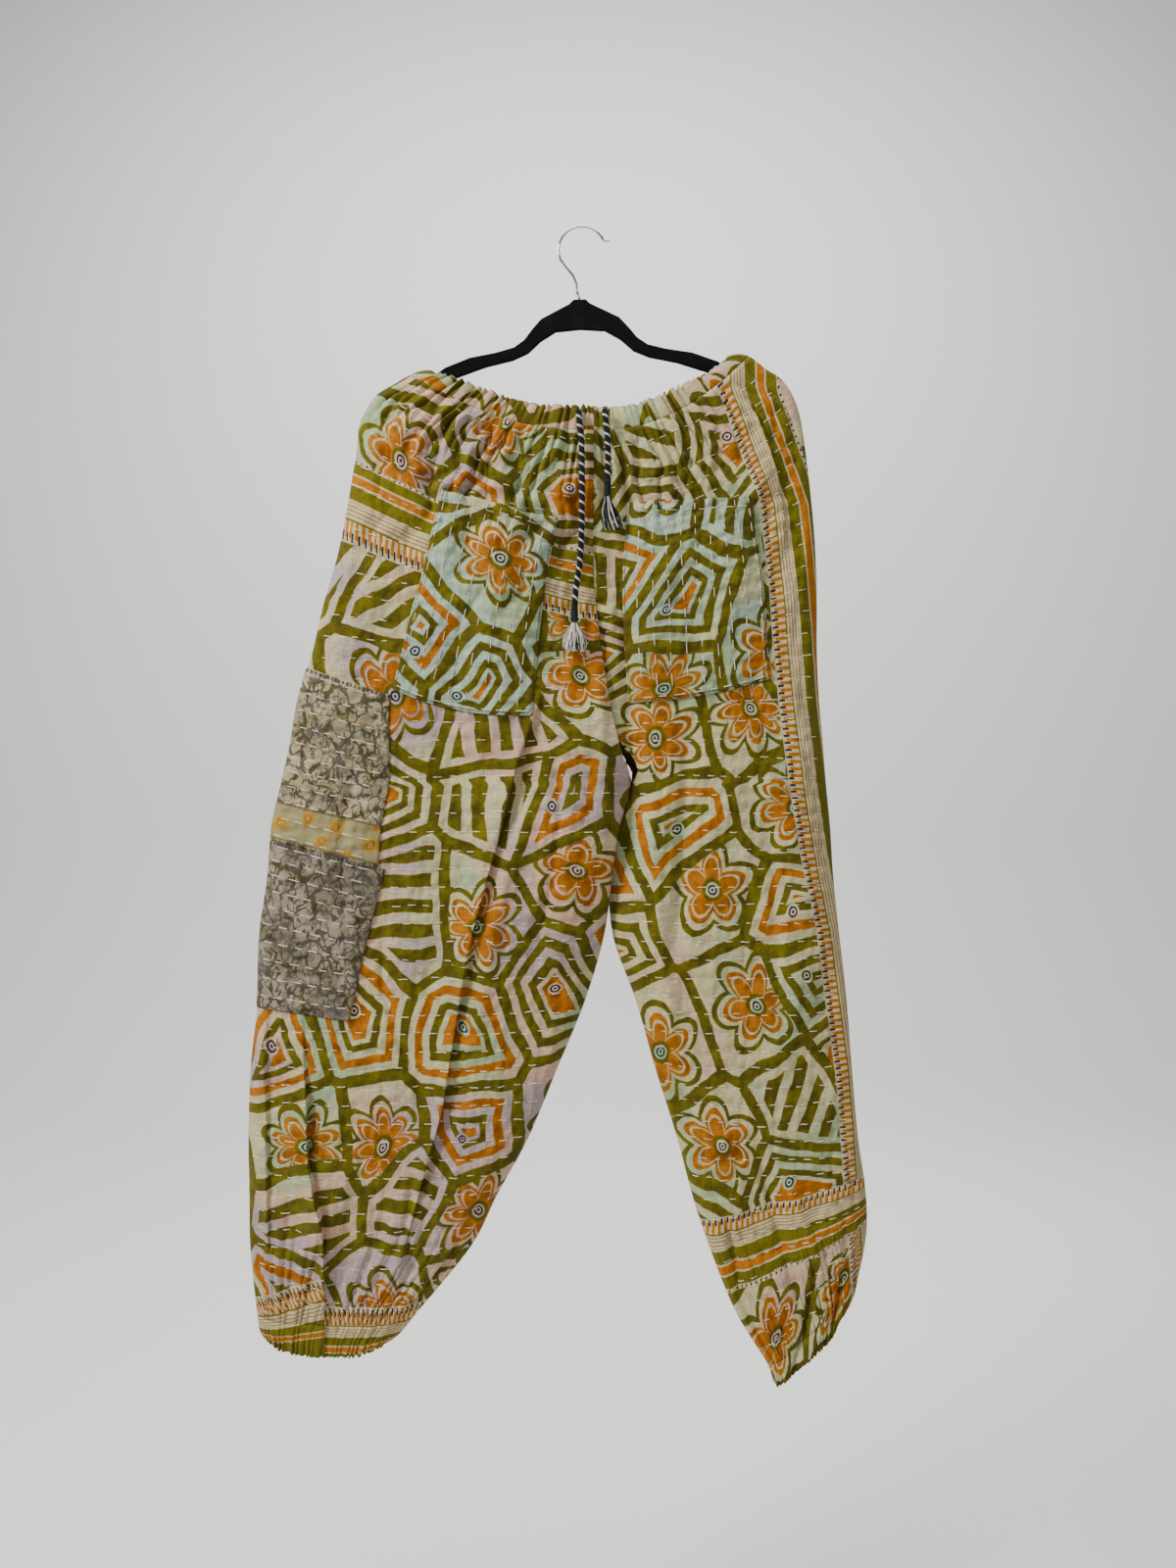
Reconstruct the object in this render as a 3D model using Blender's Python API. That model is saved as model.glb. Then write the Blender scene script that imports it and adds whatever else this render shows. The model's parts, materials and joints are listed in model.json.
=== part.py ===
"""Drawstring joggers of printed cotton, hung by the waist on a flat velvet clothes hanger.

Frame: +Z up, Y from the garment's front to its back, origin at the saddle of the hanger's hook.
Right and left are the wearer's. Sizes are in millimetres and become metres when a mesh is made.

The cloth follows two coordinates. v counts the levels of the tables below, from the casing's top
edge down to the cuff's hem. u runs along a level, from the side seam (0) to the centre seam or
inseam (1). Every piece of cloth is a wall between an outer and an inner grid of such points.
"""

from collections import namedtuple
from math import cos, hypot, pi, radians, sin, sqrt

import bmesh
import bpy
from mathutils import Matrix, Vector

MM = 0.001
SEAM_GAP = 0.3  # clear space between two pieces that are sewn together
CLOTH = 2.2  # wall of the panels, measured square to the level
CASING = 3.6  # folded cloth with the elastic in it
CASING_SWELL = 1.2  # how far its middle stands out over the elastic
CUFF = 3.2
CUFF_SWELL = 1.0
POCKET = 1.6
PATCH = 1.0

# One row for each level. outer and inner are its ends, bow how fast it leaves the side seam's
# height, sag its droop in the middle, side the width of the rounded fold at its ends, front and
# back the depth of the cloth before and behind the side seam, shift the inseam's place in Y: below
# the crotch the right leg lies a little before the left one.
Level = namedtuple(
    "Level", "outer_x outer_z inner_x inner_z bow sag side front back shift", defaults=(0,)
)

RIGHT_LEVELS = (
    Level(-148, -139, 11, -181, 2.2, 0, 60, 22, 21),  # casing, top edge
    Level(-168, -144, 11, -203, 2.2, 0, 62, 23, 22),  # casing, seam
    Level(-184, -153, 11, -218, 2.1, 0, 64, 24, 23),
    Level(-200, -163, 11, -234, 2.0, 0, 66, 25, 24),
    Level(-210, -177, 11, -250, 1.9, 0, 66, 25, 25),
    Level(-217, -194, 11, -267, 1.8, 0, 66, 25, 26),
    Level(-219, -216, 11, -287, 1.7, 0, 66, 25, 27),
    Level(-223, -241, 11, -309, 1.6, 0, 66, 25, 28),
    Level(-229, -276, 11, -336, 1.5, 0, 66, 25, 29),
    Level(-238, -320, 13, -368, 1.4, 0, 66, 25, 30),
    Level(-251, -365, 17, -399, 1.3, 0, 66, 25, 30),
    Level(-262, -412, 22, -433, 1.2, 0, 66, 25, 30),
    Level(-276, -460, 28, -468, 1.1, 0, 66, 25, 29),
    Level(-283, -503, 37, -505, 1.0, 0, 66, 25, 27),
    Level(-292, -541, 48, -536, 1.0, 0, 66, 24, 25),  # crotch
    Level(-301, -583, 36, -583, 1.0, 1, 66, 23, 24, -8),
    Level(-305, -631, 29, -631, 1.0, 2, 66, 23, 23, -8),
    Level(-313, -688, 21, -688, 1.0, 2, 66, 22, 22, -4),
    Level(-315, -750, 3, -750, 1.0, 3, 64, 22, 22),
    Level(-322, -816, -24, -816, 1.0, 3, 62, 22, 22),
    Level(-324, -883, -52, -883, 1.0, 3, 58, 21, 21),
    Level(-323, -938, -82, -938, 1.0, 3, 52, 21, 21),
    Level(-322, -989, -108, -989, 1.0, 3, 46, 20, 20),
    Level(-315, -1054, -162, -1055, 1.0, 3, 38, 18, 18),  # cuff, seam
    Level(-310, -1074, -183, -1078, 1.0, 4, 36, 17, 17),  # cuff, hem
)
LEFT_LEVELS = (
    Level(143, -124, 11, -181, 2.3, 0, 56, 22, 21),
    Level(162, -125, 11, -203, 2.3, 0, 60, 23, 22),
    Level(178, -137, 11, -218, 2.2, 0, 62, 24, 23),
    Level(192, -146, 11, -234, 2.1, 0, 64, 25, 24),
    Level(203, -160, 11, -250, 2.0, 0, 66, 25, 25),
    Level(210, -177, 11, -267, 1.9, 0, 66, 25, 26),
    Level(214, -196, 11, -287, 1.8, 0, 66, 25, 27),
    Level(218, -225, 11, -309, 1.7, 0, 66, 25, 28),
    Level(222, -259, 11, -336, 1.6, 0, 66, 25, 29),
    Level(226, -305, 13, -368, 1.5, 0, 66, 25, 30),
    Level(228, -355, 17, -399, 1.3, 0, 66, 25, 30),
    Level(228, -408, 22, -433, 1.2, 0, 66, 25, 30),
    Level(230, -457, 28, -468, 1.1, 0, 66, 25, 29),
    Level(234, -503, 37, -505, 1.0, 0, 66, 25, 27),
    Level(237, -541, 48, -536, 1.0, 0, 66, 24, 25),
    Level(241, -583, 33, -583, 1.0, 1, 62, 23, 24, 8),
    Level(244, -631, 26, -631, 1.0, 2, 62, 22, 23, 8),
    Level(250, -688, 30, -688, 1.0, 2, 62, 22, 22, 4),
    Level(257, -750, 52, -750, 1.0, 3, 60, 22, 22),
    Level(262, -816, 71, -816, 1.0, 3, 58, 22, 22),
    Level(268, -883, 92, -883, 1.0, 3, 54, 21, 21),
    Level(275, -932, 112, -956, 1.0, 3, 48, 21, 21),
    Level(276, -973, 146, -1046, 1.0, 3, 42, 20, 20),
    Level(268, -1016, 180, -1103, 1.0, 3, 36, 18, 18),
    Level(259, -1046, 186, -1121, 1.0, 3, 34, 17, 17),
)
CASING_SEAM = 1
CROTCH = 14
CUFF_SEAM = 23
HEM = 24
CROTCH_RISE = 50  # height over which the centre seams turn under to the crotch

# One row for each large fold: the panel, its line from top to bottom as (x, z), depth and width.
Fold = namedtuple("Fold", "panel line depth width")
FOLDS = (
    Fold("front_right", ((-48, -480), (-72, -560), (-95, -650), (-118, -760), (-150, -905)), 7, 20),
    Fold("front_right", ((-258, -780), (-256, -900), (-248, -1030)), 6, 18),
    Fold("front_right", ((-140, -165), (-158, -190), (-168, -225)), 4, 12),
    Fold("front_left", ((98, -470), (96, -600), (90, -730)), 5, 22),
    Fold("front_left", ((47, -560), (46, -600), (42, -650)), 9, 16),
    Fold("front_left", ((160, -900), (185, -985), (205, -1040)), 6, 18),
    Fold("back_right", ((-70, -330), (-110, -480), (-130, -640), (-150, -800)), 7, 24),
    Fold("back_right", ((-235, -820), (-245, -930), (-250, -1030)), 5, 18),
    Fold("back_left", ((80, -360), (110, -500), (120, -640), (130, -780)), 6, 24),
    Fold("back_left", ((190, -850), (205, -930), (215, -1010)), 6, 18),
)
CENTRE_VALLEY = Fold("", ((11, -215), (14, -380), (34, -500)), 8, 26)

WAIST_WAVES = 22  # gathers on each panel, 88 round the waist
CUFF_WAVES = 26  # gathers on each half of a cuff, 52 round it
# Height of the gathers at each level that has them; between these it changes evenly.
WAIST_RIPPLE = ((0, 1.7), (1, 1.3), (2, 2.3), (3.2, 2.0), (5, 0.0))
CUFF_RIPPLE = ((21.5, 0.0), (22.4, 1.1), (23, 0.9), (24, 1.3))
# Below them they run together into a few larger folds, which the pockets stop in front.
DRAPE = {
    "front": ((5, 3.2), (6.5, 1.4), (8, 0.0), (18.6, 0.0), (21.5, 1.8)),
    "back": (
        (5, 3.4), (6.5, 3.0), (8, 2.2), (9.5, 1.4), (11, 0.6), (12.3, 0.0), (18.6, 0.0), (21.5, 1.8),
    ),
}

COLUMNS = (0, 0.014, 0.05, 0.12, 0.2, 0.29, 0.37, 0.47, 0.55, 0.65, 0.73, 0.82, 0.9, 0.965, 1)
BODY_LEVELS = (5, 6.5, 8, 9.5, 11, 12.3, 13.2, 13.7, 14, 14.4, 15, 16, 17, 18.4, 20, 21.5)
# A panel is one piece of cloth, but its solid is parted across at these levels, so that the short
# nodes' collision pieces follow the wall round the leg's hollow: half the gap there, in levels.
PARTED = {12.3: 0.004, 18.4: 0.0024}
BANDS = ("seat", "thigh", "shin")

HANGER_THICK = 5.0
HANGER_EDGE = 1.4  # rounding of the hanger's edges
HANGER_ROLL = radians(1.36)
HANGER_SHIFT = -4.0  # the neck hangs a little beside the hook's saddle
WIRE = 2.4  # hook
HOOK_RADIUS = 22.8  # to the middle of the wire
HOOK_FROM, HOOK_TO = radians(205), radians(28)
HOOK_TURNS = 20  # steps of the round part
HOOK_STEM = ((-5, -62), (-5.5, -54), (-9, -46), (-15.5, -38))  # from the neck up to it, as (x, z)
NECK_IN = 0.5  # from the neck's top edge down to the end of the wire's route
HOOK_TIP = ((20.9, -12.3), (22.6, -12.9), (26.2, -12.6))  # the end turned outwards, as (x, z)

CORD = 6.3
CORD_SIDES = 2  # bevel resolution

COLOURS = {
    "printed_cotton": ((0.36, 0.33, 0.10), 0.9, 0.0),
    "plain_cotton": ((0.42, 0.50, 0.42), 0.9, 0.0),
    "patch_cotton": ((0.32, 0.28, 0.19), 0.9, 0.0),
    "cord_cotton": ((0.03, 0.03, 0.035), 0.8, 0.0),
    "velvet": ((0.006, 0.006, 0.008), 0.95, 0.0),
    "chrome": ((0.75, 0.76, 0.78), 0.12, 1.0),
}
SIDE = {"right": 1, "left": -1}
FACE = {"front": -1, "back": 1}
WAVE_SHIFT = {"front": 0.4, "back": 2.1}  # sets the front's uneven gathers apart from the back's


def clear_scene():
    for item in list(bpy.data.objects):
        bpy.data.objects.remove(item, do_unlink=True)


def new_collection(name):
    made = bpy.data.collections.new(name)
    bpy.context.scene.collection.children.link(made)
    return made


def material(name):
    """A Principled material with the colour, roughness and metallic value of its finish."""
    found = bpy.data.materials.get(name)
    if found:
        return found
    colour, roughness, metallic = COLOURS[name]
    made = bpy.data.materials.new(name)
    made.use_nodes = True
    shader = made.node_tree.nodes["Principled BSDF"]
    shader.inputs["Base Color"].default_value = (*colour, 1)
    shader.inputs["Roughness"].default_value = roughness
    shader.inputs["Metallic"].default_value = metallic
    return made


def add_mesh(name, bm, finish):
    """An object of its own from a finished bmesh in millimetres."""
    bmesh.ops.scale(bm, vec=(MM, MM, MM), verts=bm.verts)
    bmesh.ops.recalc_face_normals(bm, faces=bm.faces)
    mesh = bpy.data.meshes.new(name)
    bm.to_mesh(mesh)
    bm.free()
    mesh.materials.append(material(finish))
    made = bpy.data.objects.new(name, mesh)
    parts.objects.link(made)
    return made


# ---- the cloth's surface ----


def between(rows, at):
    """The value at a place in a table of (place, value), straight between its rows."""
    if at <= rows[0][0]:
        return rows[0][1]
    for (low, first), (high, last) in zip(rows, rows[1:]):
        if at <= high:
            return first + (last - first) * (at - low) / (high - low)
    return rows[-1][1]


def smooth(points, at):
    """The point at a place on the smooth curve that runs through points, counted from 0."""
    last = len(points) - 1
    i = min(int(at), last - 1)
    t = at - i
    a, b, c, d = (points[min(max(i + k, 0), last)] for k in (-1, 0, 1, 2))
    return [
        q + 0.5 * t * (r - p + t * (2 * p - 5 * q + 4 * r - s + t * (3 * (q - r) + s - p)))
        for p, q, r, s in zip(a, b, c, d)
    ]


def level_at(side, v):
    """The level at v. Above the crotch both legs share the centre seam of the right one."""
    own = Level(*smooth(RIGHT_LEVELS if side == "right" else LEFT_LEVELS, v))
    if side == "left" and v <= CROTCH:
        seam = Level(*smooth(RIGHT_LEVELS, v))
        own = own._replace(inner_x=seam.inner_x, inner_z=seam.inner_z)
    return own


def rounded(distance, width):
    """From 0 at an edge to 1 at a given width from it, as a quarter circle."""
    t = min(max(distance / width, 0), 1)
    return sqrt(1 - (1 - t) ** 2)


def trough(fold, x, z):
    """How deep a fold is at (x, z), from 0 to its depth; it fades out at its ends."""
    best, share = 1e9, 0
    for i, ((x0, z0), (x1, z1)) in enumerate(zip(fold.line, fold.line[1:])):
        run = (x1 - x0) ** 2 + (z1 - z0) ** 2
        t = min(max(((x - x0) * (x1 - x0) + (z - z0) * (z1 - z0)) / run, 0), 1)
        off = hypot(x - x0 - t * (x1 - x0), z - z0 - t * (z1 - z0))
        if off < best:
            best, share = off, (i + t) / (len(fold.line) - 1)
    fade = min(1, 4 * share, 4 * (1 - share))
    return fold.depth * fade / (1 + (best / (0.5 * fold.width)) ** 2) ** 2


def seam_depth(side, v):
    """How far out the inner edge lies, as a share of the depth: 1 at the centre seam, 0 below."""
    if v >= CROTCH:
        return 0
    rise = level_at(side, v).inner_z - RIGHT_LEVELS[CROTCH].inner_z
    return rounded(rise, CROTCH_RISE)


def cloth(side, face, u, v):
    """The outer surface of a panel without its gathers."""
    at = level_at(side, v)
    inner_x = at.inner_x - SIDE[side] * SEAM_GAP / 2
    x = at.outer_x + (inner_x - at.outer_x) * u
    z = at.outer_z + (at.inner_z - at.outer_z) * (1 - (1 - u) ** at.bow) - at.sag * 4 * u * (1 - u)
    width = hypot(inner_x - at.outer_x, at.inner_z - at.outer_z)
    edge = seam_depth(side, v)
    swell = rounded(u * width, at.side)
    swell *= edge + (1 - edge) * rounded((1 - u) * width, at.side)
    depth = at.front if face == "front" else at.back
    for fold in FOLDS:
        if fold.panel == f"{face}_{side}":
            depth -= trough(fold, x, z)
    depth -= trough(CENTRE_VALLEY, x, z)
    return Vector((x, at.shift * u * u + FACE[face] * (SEAM_GAP / 2 + depth * swell), z))


def inward(side, face, u, v):
    """The direction through the wall. At a seam it stays beside the seam's plane."""
    step = 0.002
    u0, u1 = max(u - step, 0), min(u + step, 1)
    v0, v1 = max(v - 10 * step, 0), min(v + 10 * step, HEM)
    along = cloth(side, face, u1, v) - cloth(side, face, u0, v)
    down = cloth(side, face, u, v1) - cloth(side, face, u, v0)
    way = along.cross(down) * -SIDE[side] * FACE[face]
    if u == 0 or (u == 1 and v > CROTCH):
        way.y = 0
    elif u == 1 and v == CROTCH:
        way = Vector((0, 0, 1))
    elif u == 1:
        way.x = 0
    return way.normalized()


def wave_columns(waves, shift):
    """Two columns for each gather, (u, height from -1 to 1), uneven in width and height."""
    count = 2 * waves
    made = []
    for j in range(count + 1):
        t = j / count
        u = t + 0.35 / count * sin(9.4 * t + shift) * sin(pi * t)
        height = (1 if j % 2 else -1) * (0.72 + 0.28 * sin(2.3 * j + shift))
        made.append((u, height if 0 < j < count else 0))
    return made


def drape_columns(shift):
    """The panel's own columns, every other one raised, and none near the seams."""
    made = []
    for j, u in enumerate(COLUMNS):
        height = (1 if j % 2 else -1) * (0.65 + 0.35 * sin(2.9 * j + 1.7 * shift))
        made.append((u, height if 2 <= j <= len(COLUMNS) - 4 else 0))
    return made


def cloth_row(side, face, columns, v, ripple, out, wall):
    """A row of (u, outer point, inner point). out moves the row off the panel's surface."""
    made = []
    for u, height in columns:
        way = inward(side, face, u, v)
        base = cloth(side, face, u, v) - way * (out + ripple * height)
        made.append((u, base, base + way * wall))
    return made


def zip_rows(bm, upper, lower):
    """Triangles between two rows of (u, vertex); the row that lags behind goes on first."""
    i = j = 0
    while i < len(upper) - 1 or j < len(lower) - 1:
        if j == len(lower) - 1 or (i < len(upper) - 1 and upper[i + 1][0] <= lower[j + 1][0]):
            bm.faces.new((upper[i][1], upper[i + 1][1], lower[j][1]))
            i += 1
        else:
            bm.faces.new((upper[i][1], lower[j + 1][1], lower[j][1]))
            j += 1


def wall_between(name, rows, finish):
    """A closed wall from rows of (u, outer point, inner point), which may differ in length."""
    bm = bmesh.new()
    outer = [[(u, bm.verts.new(p)) for u, p, _ in row] for row in rows]
    inner = [[(u, bm.verts.new(p)) for u, _, p in row] for row in rows]
    for skin in (outer, inner):
        for upper, lower in zip(skin, skin[1:]):
            zip_rows(bm, upper, lower)
    for k in (0, -1):  # the hems, then the two side edges
        zip_rows(bm, outer[k], inner[k])
        zip_rows(
            bm,
            [(n, row[k][1]) for n, row in enumerate(outer)],
            [(n, row[k][1]) for n, row in enumerate(inner)],
        )
    return add_mesh(name, bm, finish)


# ---- the pieces of cloth ----


def panel(side, face):
    """A leg's front or back, gathered into the casing and into the cuff."""
    shift = WAVE_SHIFT[face] + SIDE[side]
    waist = wave_columns(WAIST_WAVES, shift)
    ankle = wave_columns(CUFF_WAVES, shift)
    drape = drape_columns(shift)
    bands = [[]]
    for v in (CASING_SEAM + 0.024, 2, 3.2):
        bands[-1].append(cloth_row(side, face, waist, v, between(WAIST_RIPPLE, v), 0, CLOTH))
    for v in BODY_LEVELS:
        ripple = between(DRAPE[face], v)
        half = PARTED.get(v, 0)
        bands[-1].append(cloth_row(side, face, drape, v - half, ripple, 0, CLOTH))
        if half:
            bands.append([cloth_row(side, face, drape, v + half, ripple, 0, CLOTH)])
    for v in (22.4, CUFF_SEAM - 0.016):
        bands[-1].append(cloth_row(side, face, ankle, v, between(CUFF_RIPPLE, v), 0, CLOTH))
    for band, rows in zip(BANDS, bands):
        wall_between(f"{face}_{side}_{band}", rows, "printed_cotton")


def waist_casing(face):
    """Half of the folded top with the elastic in it, from one side seam to the other."""
    rows = []
    for v, swell in ((0, 0), (0.5, CASING_SWELL), (CASING_SEAM, 0)):
        row = []
        for side in ("right", "left"):
            columns = wave_columns(WAIST_WAVES, WAVE_SHIFT[face] + SIDE[side])
            half = cloth_row(side, face, columns, v, between(WAIST_RIPPLE, v), swell, CASING)
            row += half if side == "right" else [(2 - u, p, q) for u, p, q in reversed(half[:-1])]
        rows.append(row)
    wall_between(f"waist_casing_{face}", rows, "printed_cotton")


def cuff(side, face):
    """Half of an elastic cuff."""
    columns = wave_columns(CUFF_WAVES, WAVE_SHIFT[face] + SIDE[side])
    rows = []
    for v, swell in ((CUFF_SEAM, 0), (CUFF_SEAM + 0.5, CUFF_SWELL), (HEM, 0)):
        rows.append(cloth_row(side, face, columns, v, between(CUFF_RIPPLE, v), swell, CUFF))
    wall_between(f"cuff_{side}_{face}", rows, "printed_cotton")


# Patch pockets on the fronts: the corners as (u, v), the rise of the mouth off the panel and the
# droop of the bottom edge, in levels.
Pocket = namedtuple("Pocket", "side top_out top_in bottom_in bottom_out mouth droop")
POCKETS = (
    Pocket("right", (0.38, 6.21), (0.856, 6.16), (0.747, 12.22), (0.307, 11.68), 8.5, 0.2),
    Pocket("left", (0.278, 7.24), (0.837, 5.42), (0.913, 11.88), (0.24, 11.54), 9.0, 0.1),
)
POCKET_LIFT = 0.7  # of its edges off the panel
POCKET_ACROSS, POCKET_DOWN = 8, 7


def pocket(row):
    """A pocket that stands off the panel at its mouth and closes in towards its bottom."""
    rows = []
    for i in range(POCKET_DOWN + 1):
        t = i / POCKET_DOWN
        made = []
        for j in range(POCKET_ACROSS + 1):
            s = j / POCKET_ACROSS
            u = (1 - t) * ((1 - s) * row.top_out[0] + s * row.top_in[0])
            u += t * ((1 - s) * row.bottom_out[0] + s * row.bottom_in[0])
            v = (1 - t) * ((1 - s) * row.top_out[1] + s * row.top_in[1])
            v += t * ((1 - s) * row.bottom_out[1] + s * row.bottom_in[1])
            v += row.droop * t * 4 * s * (1 - s)
            lift = POCKET_LIFT + between(DRAPE["front"], v)
            lift += row.mouth * sin(pi * s) ** 0.7 * cos(pi * t / 2) ** 0.8
            way = inward(row.side, "front", u, v)
            inner = cloth(row.side, "front", u, v) - way * lift
            made.append((s, inner - way * POCKET, inner))
        rows.append(made)
    wall_between(f"pocket_{row.side}", rows, "plain_cotton")


# Patches sewn over the right leg's front beside the side seam: u of the far edge at the top and
# bottom, and v of the four corners.
Patch = namedtuple("Patch", "name top_u bottom_u top_out_v top_in_v bottom_out_v bottom_in_v")
PATCHES = (
    Patch("side_patch_upper", 0.305, 0.33, 11.32, 11.83, 15.22, 15.74),
    Patch("side_patch_lower", 0.356, 0.297, 15.38, 16.1, 18.07, 18.2),
)
PATCH_LIFT = 1.2
PATCH_COLUMNS = (0.008, 0.014, 0.05, 0.12, 0.2, 1)  # the last stands for the far edge
PATCH_DOWN = 7


def patch(row):
    rows = []
    for i in range(PATCH_DOWN + 1):
        t = i / PATCH_DOWN
        far = row.top_u + (row.bottom_u - row.top_u) * t
        made = []
        for column in PATCH_COLUMNS:
            u = min(column, far)
            s = u / far
            top = row.top_out_v + (row.top_in_v - row.top_out_v) * s
            bottom = row.bottom_out_v + (row.bottom_in_v - row.bottom_out_v) * s
            v = top + (bottom - top) * t
            way = inward("right", "front", u, v)
            inner = cloth("right", "front", u, v) - way * PATCH_LIFT
            made.append((s, inner - way * PATCH, inner))
        rows.append(made)
    wall_between(row.name, rows, "patch_cotton")


# ---- drawstring, tassels, hanger ----

# A row for each end of the drawstring: its route down the front as (x, y, z), how many points
# the tube takes from it, the bound head of its tassel and the length and spread of the strands.
Drawstring = namedtuple("Drawstring", "side route points head strands spread")
DRAWSTRINGS = (
    Drawstring(
        "right",
        ((-3, -29.4, -187), (-2.5, -31.4, -197), (-0.5, -32, -215), (0, -32, -245),
         (0, -32, -285), (-1.5, -32, -325), (-5, -32, -351), (-7, -32, -369)),
        14, 18, 27, 10,
    ),
    Drawstring(
        "left",
        ((21.5, -29.4, -186), (22.5, -31.4, -196), (24, -32, -212), (24.5, -32, -230), (24, -32, -251)),
        7, 17, 31, 9,
    ),
)
HEAD_RADIUS = 3.5
STRAND = 0.75  # thickness of a strand
STRAND_SHAPE = (0.5, 0.5, 0.36)  # its radius at the root, bend and tip, as a share of that
STRAND_RINGS = ((0.7, 4), (1.6, 8), (2.5, 14))  # radius of the ring at the root, strands on it
STRAND_ROOT = 3.0  # how deep the strands are fused into the head


def tube(name, points, thickness, finish, resolution):
    """A round tube with filled caps through points in millimetres."""
    curve = bpy.data.curves.new(name, "CURVE")
    curve.dimensions = "3D"
    curve.bevel_depth = thickness / 2 * MM
    curve.bevel_resolution = resolution
    curve.use_fill_caps = True
    spline = curve.splines.new("POLY")
    spline.points.add(len(points) - 1)
    for point, place in zip(spline.points, points):
        point.co = (*(Vector(place) * MM), 1)
    curve.materials.append(material(finish))
    made = bpy.data.objects.new(name, curve)
    parts.objects.link(made)
    return made


def drawstring(row):
    last = len(row.route) - 1
    points = [smooth(row.route, last * k / (row.points - 1)) for k in range(row.points)]
    tube(f"drawstring_{row.side}", points, CORD, "cord_cotton", CORD_SIDES)


def strand(bm, root, bend, tip):
    """A three-sided strand, a little thinner at its tip."""
    rings = []
    for place, radius in zip((root, bend, tip), STRAND_SHAPE):
        ring = []
        for k in range(3):
            angle = 2 * pi * k / 3
            offset = Vector((cos(angle), sin(angle), 0)) * radius * STRAND
            ring.append(bm.verts.new(Vector(place) + offset))
        rings.append(ring)
    for a, b in zip(rings, rings[1:]):
        for k in range(3):
            bm.faces.new((a[k], a[(k + 1) % 3], b[(k + 1) % 3], b[k]))
    bm.faces.new(rings[0])
    bm.faces.new(rings[-1])


def tassel(row):
    """The bound end of the cord with its strands, fused at their roots into the head."""
    x, y, z = row.route[-1]
    top = z - SEAM_GAP
    bm = bmesh.new()
    bmesh.ops.create_cone(
        bm, cap_ends=True, segments=10, radius1=HEAD_RADIUS, radius2=HEAD_RADIUS, depth=row.head,
        matrix=Matrix.Translation((x, y, top - row.head / 2)),
    )
    made = add_mesh(f"tassel_{row.side}", bm, "cord_cotton")
    bm = bmesh.new()
    low = top - row.head
    for ring, (radius, count) in enumerate(STRAND_RINGS):
        for k in range(count):
            angle = 2 * pi * (k + 0.37 * ring) / count
            uneven = 1 + 0.12 * sin(5.1 * k + 2 * ring)
            out = Vector((cos(angle), 0.55 * sin(angle), 0)) * uneven
            root = Vector((x, y, low + STRAND_ROOT)) + Vector((cos(angle), sin(angle), 0)) * radius
            bend = Vector((x, y, low - 0.35 * row.strands)) + out * (radius + 0.22 * row.spread * radius)
            tip = Vector((x, y, low - row.strands * (1.04 - 0.1 * abs(sin(2.7 * k + ring)))))
            tip += out * (radius / STRAND_RINGS[-1][0]) * row.spread
            strand(bm, root, bend, tip)
    strands = add_mesh(f"strands_{row.side}", bm, "cord_cotton")
    union = made.modifiers.new("Strands", "BOOLEAN")
    union.operation = "UNION"
    union.solver = "EXACT"
    union.object = strands
    parts.objects.unlink(strands)
    cutters.objects.link(strands)
    strands.hide_render = True
    strands.display_type = "WIRE"


# Half of the hanger's outline from the neck to the arm's tip and back, before its slight roll.
HANGER_UPPER = (
    (6, -70), (10, -74), (24, -81), (38, -88), (47, -98), (55, -108), (65, -115), (82, -119.5),
    (108, -124), (132, -133), (143, -140.5), (158, -147), (178, -156), (188, -162),
)
HANGER_LOWER = (
    (191, -167), (189, -172), (180, -170), (158, -159.5), (124, -144), (93, -133.5), (66, -127.5),
    (51, -121), (39, -110), (24, -101), (0, -99),
)


def hanger():
    """A flat arm on each side of the neck, with rounded edges."""
    half = HANGER_UPPER + HANGER_LOWER
    outline = list(half) + [(-x, z) for x, z in reversed(half[:-1])]
    curve = bpy.data.curves.new("hanger", "CURVE")
    curve.dimensions = "2D"
    curve.fill_mode = "BOTH"
    curve.extrude = (HANGER_THICK / 2 - HANGER_EDGE) * MM
    curve.bevel_depth = HANGER_EDGE * MM
    curve.bevel_resolution = 1
    curve.offset = -HANGER_EDGE * MM
    spline = curve.splines.new("POLY")
    spline.points.add(len(outline) - 1)
    for point, (x, z) in zip(spline.points, outline):
        point.co = (x * MM, z * MM, 0, 1)
    spline.use_cyclic_u = True
    curve.materials.append(material("velvet"))
    made = bpy.data.objects.new("hanger", curve)
    parts.objects.link(made)
    made.location = (HANGER_SHIFT * MM, 0, 0)
    made.rotation_euler = (pi / 2, -HANGER_ROLL, 0)


def hook():
    """The wire from the neck up round the saddle, whose inner top is the origin."""
    centre_z = WIRE / 2 - HOOK_RADIUS
    neck = Matrix.Rotation(-HANGER_ROLL, 3, "Y") @ Vector((0, 0, HANGER_UPPER[0][1] + NECK_IN))
    route = [(neck.x + HANGER_SHIFT, neck.z), *HOOK_STEM]
    for k in range(HOOK_TURNS + 1):
        angle = HOOK_FROM + (HOOK_TO - HOOK_FROM) * k / HOOK_TURNS
        route.append((HOOK_RADIUS * cos(angle), centre_z + HOOK_RADIUS * sin(angle)))
    route += HOOK_TIP
    tube("hanger_hook", [(x, 0, z) for x, z in route], WIRE, "chrome", 2)


clear_scene()
parts = new_collection("joggers_on_hanger")
cutters = new_collection("cutters")
for face_name in FACE:
    waist_casing(face_name)
    for side_name in SIDE:
        panel(side_name, face_name)
        cuff(side_name, face_name)
for pocket_row in POCKETS:
    pocket(pocket_row)
for patch_row in PATCHES:
    patch(patch_row)
for cord_row in DRAWSTRINGS:
    drawstring(cord_row)
    tassel(cord_row)
hanger()
hook()
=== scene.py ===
import json
from math import cos, pi, radians, sin

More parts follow.
